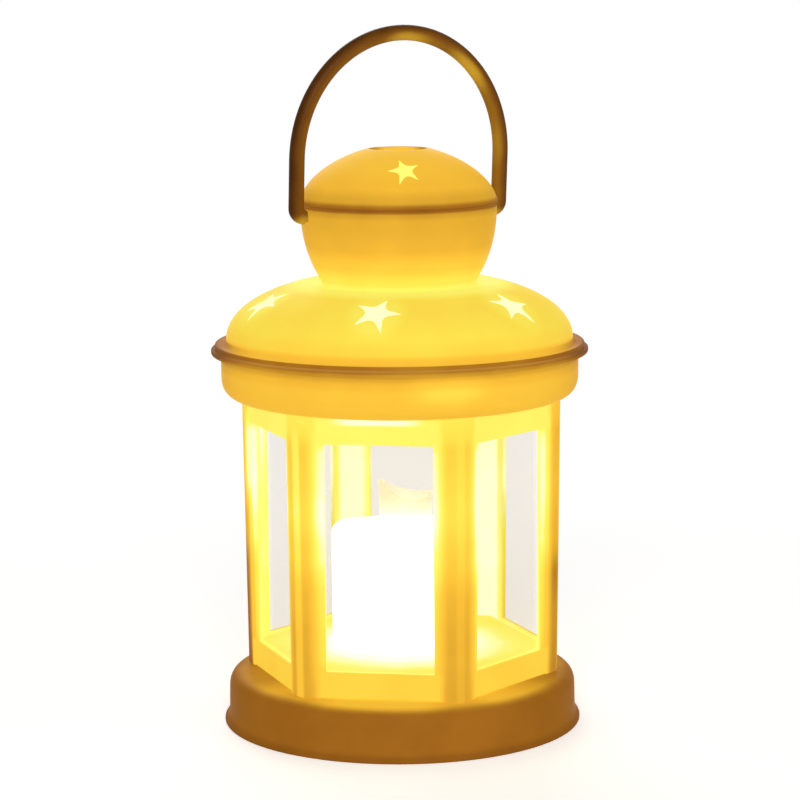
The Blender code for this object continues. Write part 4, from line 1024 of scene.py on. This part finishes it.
def candle_round(look):
    inner = CANDLE_RADIUS - CANDLE_WALL
    mouth = FLAME_STEM_RADIUS + GAP
    dish = CANDLE_TOP - CANDLE_DISH
    profile = rounded([
        (inner, CANDLE_BOTTOM, 0.0),
        (CANDLE_RADIUS, CANDLE_BOTTOM, 0.4),
        (CANDLE_RADIUS, CANDLE_TOP, CANDLE_EDGE),
        (CANDLE_RADIUS - 3.4, CANDLE_TOP - 0.3, 1.2),
        (CANDLE_RADIUS - 6.0, dish + 0.3, 1.2),
        (mouth, dish, 0.2),
        (mouth, dish - CANDLE_WALL, 0.2),
        (inner, dish - CANDLE_WALL, 0.8),
    ], 8)
    piece = lathe("candle_round", profile, look, CANDLE_SEGMENTS, candle_wave, WAVY_SHARP)
    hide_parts("candle_shell")
    return piece


def flame_wave(angle, height):
    """Two tips, which the cup only takes up towards its rim."""
    foot = CANDLE_TOP - CANDLE_DISH + 2.0
    share = max(0.0, min(1.0, (height - foot) / (FLAME_TOP - foot)))
    turn = angle - math.radians(FLAME_TIP_ANGLE)
    return share ** 2 * FLAME_WAVE * (math.cos(turn) + FLAME_SECOND_WAVE * math.cos(2 * turn))


def flame_round(look):
    seat = CANDLE_TOP - CANDLE_DISH + GAP
    stem_foot = seat - CANDLE_WALL - GAP
    inner = FLAME_RADIUS - FLAME_WALL
    steps = 12
    rise = [seat + 0.6 + (FLAME_TOP - seat - 0.6) * step / steps for step in range(steps + 1)]
    flare = [FLAME_FLARE * (1 - step / steps) ** 1.5 for step in range(steps + 1)]
    outer = [(FLAME_RADIUS - narrower, height) for narrower, height in zip(flare, rise)]
    inside = [(radius - FLAME_WALL, height) for radius, height in reversed(outer)]
    profile = [(FLAME_STEM_RADIUS - FLAME_WALL, stem_foot, 0.1), (FLAME_STEM_RADIUS, stem_foot, 0.1)]
    profile += [(FLAME_STEM_RADIUS, seat, 0.3), (outer[0][0], seat, 0.5)] + plain(outer) + plain(inside)
    profile += [(inner - FLAME_FLARE, seat + FLAME_WALL, 0.4)]
    profile += [(FLAME_STEM_RADIUS - FLAME_WALL, seat + FLAME_WALL, 0.3)]
    piece = lathe("flame_round", rounded(profile), look, FLAME_SEGMENTS, flame_wave, WAVY_SHARP)
    for point in piece.data.vertices:
        share = max(0.0, min(1.0, (point.co.z / MM - seat) / 2.0))
        point.co += Vector((*FLAME_LEAN, 0.0)) * MM * share
    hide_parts("flame_diffuser")
    return piece


def bail_line():
    """Half of the bail's line, from its pin to its apex, as (x, z, radius) from the pivot."""
    bend_centre = BAIL_HALF_SPAN - BAIL_BEND
    tip = bend_centre - PIN_REACH
    points = [(tip, 0.0, PIN_RADIUS - 0.2), (tip + 0.3, 0.0, PIN_RADIUS)]
    points += [(bend_centre - 0.3, 0.0, PIN_RADIUS), (bend_centre, 0.0, BAIL_RADIUS - 0.1)]
    for step in range(BAIL_BEND_STEPS + 1):
        x, z = polar(BAIL_BEND, -90 + 90 * step / BAIL_BEND_STEPS)
        points.append((bend_centre + x, BAIL_BEND + z, BAIL_RADIUS))
    spring = BAIL_SPRING_LINE - PIVOT_HEIGHT
    for step in range(1, BAIL_LEG_STEPS):
        height = BAIL_BEND + (spring - BAIL_BEND) * step / BAIL_LEG_STEPS
        points.append((BAIL_HALF_SPAN, height, BAIL_RADIUS))
    rise = BAIL_APEX - BAIL_SPRING_LINE
    for step in range(BAIL_ARCH_STEPS + 1):
        angle = math.radians(90 * step / BAIL_ARCH_STEPS)
        points.append((BAIL_HALF_SPAN * math.cos(angle), spring + rise * math.sin(angle), BAIL_RADIUS))
    return points


def bail_bar(look):
    half = bail_line()
    line = half + [(-x, z, radius) for x, z, radius in reversed(half[:-1])]
    bm = bmesh.new()
    across = Vector((0, 1, 0))
    sides = BAIL_SIDES
    rings = []
    for index, (x, z, radius) in enumerate(line):
        before = line[max(index - 1, 0)]
        after = line[min(index + 1, len(line) - 1)]
        along = Vector((after[0] - before[0], 0, after[1] - before[1])).normalized()
        inward = along.cross(across)
        ring = []
        for side in range(sides):
            over, up = polar(radius, 360 * side / sides)
            ring.append(bm.verts.new(Vector((x, 0, z)) + across * over + inward * up))
        rings.append(ring)
    for here, there in zip(rings, rings[1:]):
        for side in range(sides):
            after = (side + 1) % sides
            bm.faces.new((here[side], here[after], there[after], there[side]))
    bm.faces.new(rings[0])
    bm.faces.new(list(reversed(rings[-1])))
    piece = finished("bail_bar", bm, look, WAVY_SHARP)
    lean = Matrix.Rotation(math.radians(BAIL_LEAN), 4, "X")
    piece.data.transform(Matrix.Translation((0, 0, PIVOT_HEIGHT * MM)) @ lean)
    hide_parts("bail")
    return piece


def dress(node, look, edge=None):
    """Gives a CAD node its finish, and softens its edges."""
    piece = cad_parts[node]
    piece.data.materials.clear()
    piece.data.materials.append(look)
    if edge:
        bevel(piece, edge)


def dress_all(looks):
    """Finishes the nodes that keep their CAD shape."""
    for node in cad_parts:
        if node.startswith("window_pane"):
            dress(node, looks["pane"])
        elif node.startswith(STEEL_NODES):
            dress(node, looks["steel"])
        elif node in ("battery_1", "battery_2", "battery_3"):
            dress(node, looks["cell"])
        elif "_wire_" in node:
            dress(node, looks["red"] if node.endswith("positive") else looks["black"])
    dress("base_plate", looks["base"], 0.15)
    dress("battery_door", looks["base"], 0.15)
    dress("switch_knob", looks["black"], 0.15)
    dress("candle_tray", looks["tray"], 0.2)
    dress("lamp_post", looks["white"])
    dress("led_lamp", looks["lamp"])
    dress("circuit_board", looks["board"])
    dress("flicker_chip", looks["black"])
    dress("resistor", looks["black"])


def make_looks():
    return {
        "base": base_plastic("bronze_gold_plastic"),
        "bail": bail_plastic("dark_bronze_plastic"),
        "roof": lit_plastic("lit_roof_plastic", roof_heat, 0.78, 0.24),
        "cap": lit_plastic("lit_cap_plastic", cap_heat),
        "band": lit_plastic("lit_band_plastic", band_heat),
        "body": lit_plastic("lit_body_plastic", body_heat, 0.88, 0.14),
        "tray": lit_plastic("lit_tray_plastic", tray_heat, 0.90, 0.14),
        "inside": inner_plastic("lit_inner_plastic"),
        "candle": candle_plastic("candle_plastic"),
        "flame": flame_plastic("flame_plastic"),
        "lamp": lamp_lens("lamp_lens"),
        "pane": pane_sheet("window_sheet"),
        "white": plain_plastic("white_plastic", srgb(238, 234, 226), 0.5),
        "black": plain_plastic("black_plastic", srgb(40, 38, 36), 0.45),
        "red": plain_plastic("red_insulation", srgb(190, 40, 30), 0.45),
        "board": plain_plastic("board_green", srgb(40, 110, 70), 0.5),
        "cell": plain_plastic("cell_sleeve", srgb(60, 62, 66), 0.35),
        "steel": plated_steel("plated_steel"),
    }


def camera():
    data = bpy.data.cameras.new("camera")
    data.lens = CAMERA_LENS
    data.sensor_width = 36.0
    data.clip_end = 20.0
    made = bpy.data.objects.new("camera", data)
    bpy.context.collection.objects.link(made)
    azimuth = math.radians(CAMERA_AZIMUTH)
    away = CAMERA_DISTANCE * MM
    turn = Matrix.Rotation(azimuth, 4, "Z")
    tilt = Matrix.Rotation(math.radians(90 - CAMERA_PITCH), 4, "X")
    roll = Matrix.Rotation(math.radians(CAMERA_ROLL), 4, "Z")
    place = (math.sin(azimuth) * away, -math.cos(azimuth) * away, CAMERA_HEIGHT * MM)
    made.matrix_world = Matrix.Translation(place) @ turn @ tilt @ roll
    bpy.context.scene.camera = made


def seen_directly(nodes, links):
    """1 for the camera, and for what gloss and clear plastic show of the surroundings."""
    rays = nodes.new("ShaderNodeLightPath")
    total = rays.outputs["Is Camera Ray"]
    for name in ("Is Glossy Ray", "Is Transmission Ray"):
        add = nodes.new("ShaderNodeMath")
        add.operation = "MAXIMUM"
        links.new(total, add.inputs[0])
        links.new(rays.outputs[name], add.inputs[1])
        total = add.outputs[0]
    return total


def floor():
    """White for the camera, with the lantern's soft shadow round its foot."""
    bm = bmesh.new()
    bmesh.ops.create_grid(bm, x_segments=1, y_segments=1, size=6000)
    piece = finished("floor", bm, None)
    made = bpy.data.materials.new("pale_floor")
    made.use_nodes = True
    nodes = made.node_tree.nodes
    links = made.node_tree.links
    seen = seen_directly(nodes, links)
    near = nodes["Principled BSDF"]
    near.inputs["Base Color"].default_value = (0.93, 0.92, 0.90, 1)
    near.inputs["Roughness"].default_value = 0.9
    near.inputs["Specular IOR Level"].default_value = 0.1
    near.inputs["Emission Color"].default_value = (1, 1, 1, 1)
    lift = nodes.new("ShaderNodeMath")
    lift.operation = "MULTIPLY"
    lift.inputs[1].default_value = FLOOR_LIFT
    links.new(seen, lift.inputs[0])
    links.new(lift.outputs[0], near.inputs["Emission Strength"])
    far = nodes.new("ShaderNodeEmission")
    coordinates = nodes.new("ShaderNodeTexCoord")
    length = nodes.new("ShaderNodeVectorMath")
    length.operation = "LENGTH"
    links.new(coordinates.outputs["Object"], length.inputs[0])
    away = nodes.new("ShaderNodeMapRange")
    away.interpolation_type = "SMOOTHSTEP"
    away.inputs["From Min"].default_value = FLOOR_FADE_START * MM
    away.inputs["From Max"].default_value = FLOOR_FADE_END * MM
    links.new(length.outputs["Value"], away.inputs["Value"])
    share = nodes.new("ShaderNodeMath")
    share.operation = "MULTIPLY"
    links.new(seen, share.inputs[0])
    links.new(away.outputs["Result"], share.inputs[1])
    both = nodes.new("ShaderNodeMixShader")
    links.new(share.outputs[0], both.inputs[0])
    links.new(near.outputs[0], both.inputs[1])
    links.new(far.outputs[0], both.inputs[2])
    links.new(both.outputs[0], nodes["Material Output"].inputs["Surface"])
    piece.data.materials.append(made)


def area_light(name, place, size, power, aim=(0, 0, 90)):
    data = bpy.data.lights.new(name, "AREA")
    data.shape = "RECTANGLE"
    data.size = size * MM
    data.size_y = size * MM
    data.energy = power
    made = bpy.data.objects.new(name, data)
    bpy.context.collection.objects.link(made)
    made.location = Vector(place) * MM
    toward = Vector(aim) * MM - made.location
    made.rotation_euler = toward.to_track_quat("-Z", "Y").to_euler()


def studio():
    """A dim world that the camera sees as white, and three lamps."""
    world = bpy.data.worlds.new("studio")
    bpy.context.scene.world = world
    world.use_nodes = True
    nodes = world.node_tree.nodes
    links = world.node_tree.links
    shade = nodes["Background"]
    shade.inputs["Color"].default_value = (1, 1, 1, 1)
    strength = nodes.new("ShaderNodeMapRange")
    strength.inputs["To Min"].default_value = AMBIENT
    strength.inputs["To Max"].default_value = 1.0
    links.new(seen_directly(nodes, links), strength.inputs["Value"])
    links.new(strength.outputs["Result"], shade.inputs["Strength"])
    for lamp in LAMPS:
        area_light(*lamp)
    bpy.context.scene.view_settings.view_transform = "Standard"


def build():
    camera()
    looks = make_looks()
    dress_all(looks)
    made = [
        (base_round(looks["base"]), "base"),
        (body_walls(looks["body"]), "body"),
        (band_round(looks["band"], looks["inside"]), "body"),
        (roof_round(looks["roof"], looks["inside"]), "body"),
        (cap_round(looks["cap"], looks["inside"]), "body"),
        (candle_round(looks["candle"]), "candle"),
        (flame_round(looks["flame"]), "flame"),
    ]
    for piece, slot in made:
        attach(piece, "lantern")
    handle = bail_bar(looks["bail"])
    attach(handle, "bail")
    floor()
    studio()


build()
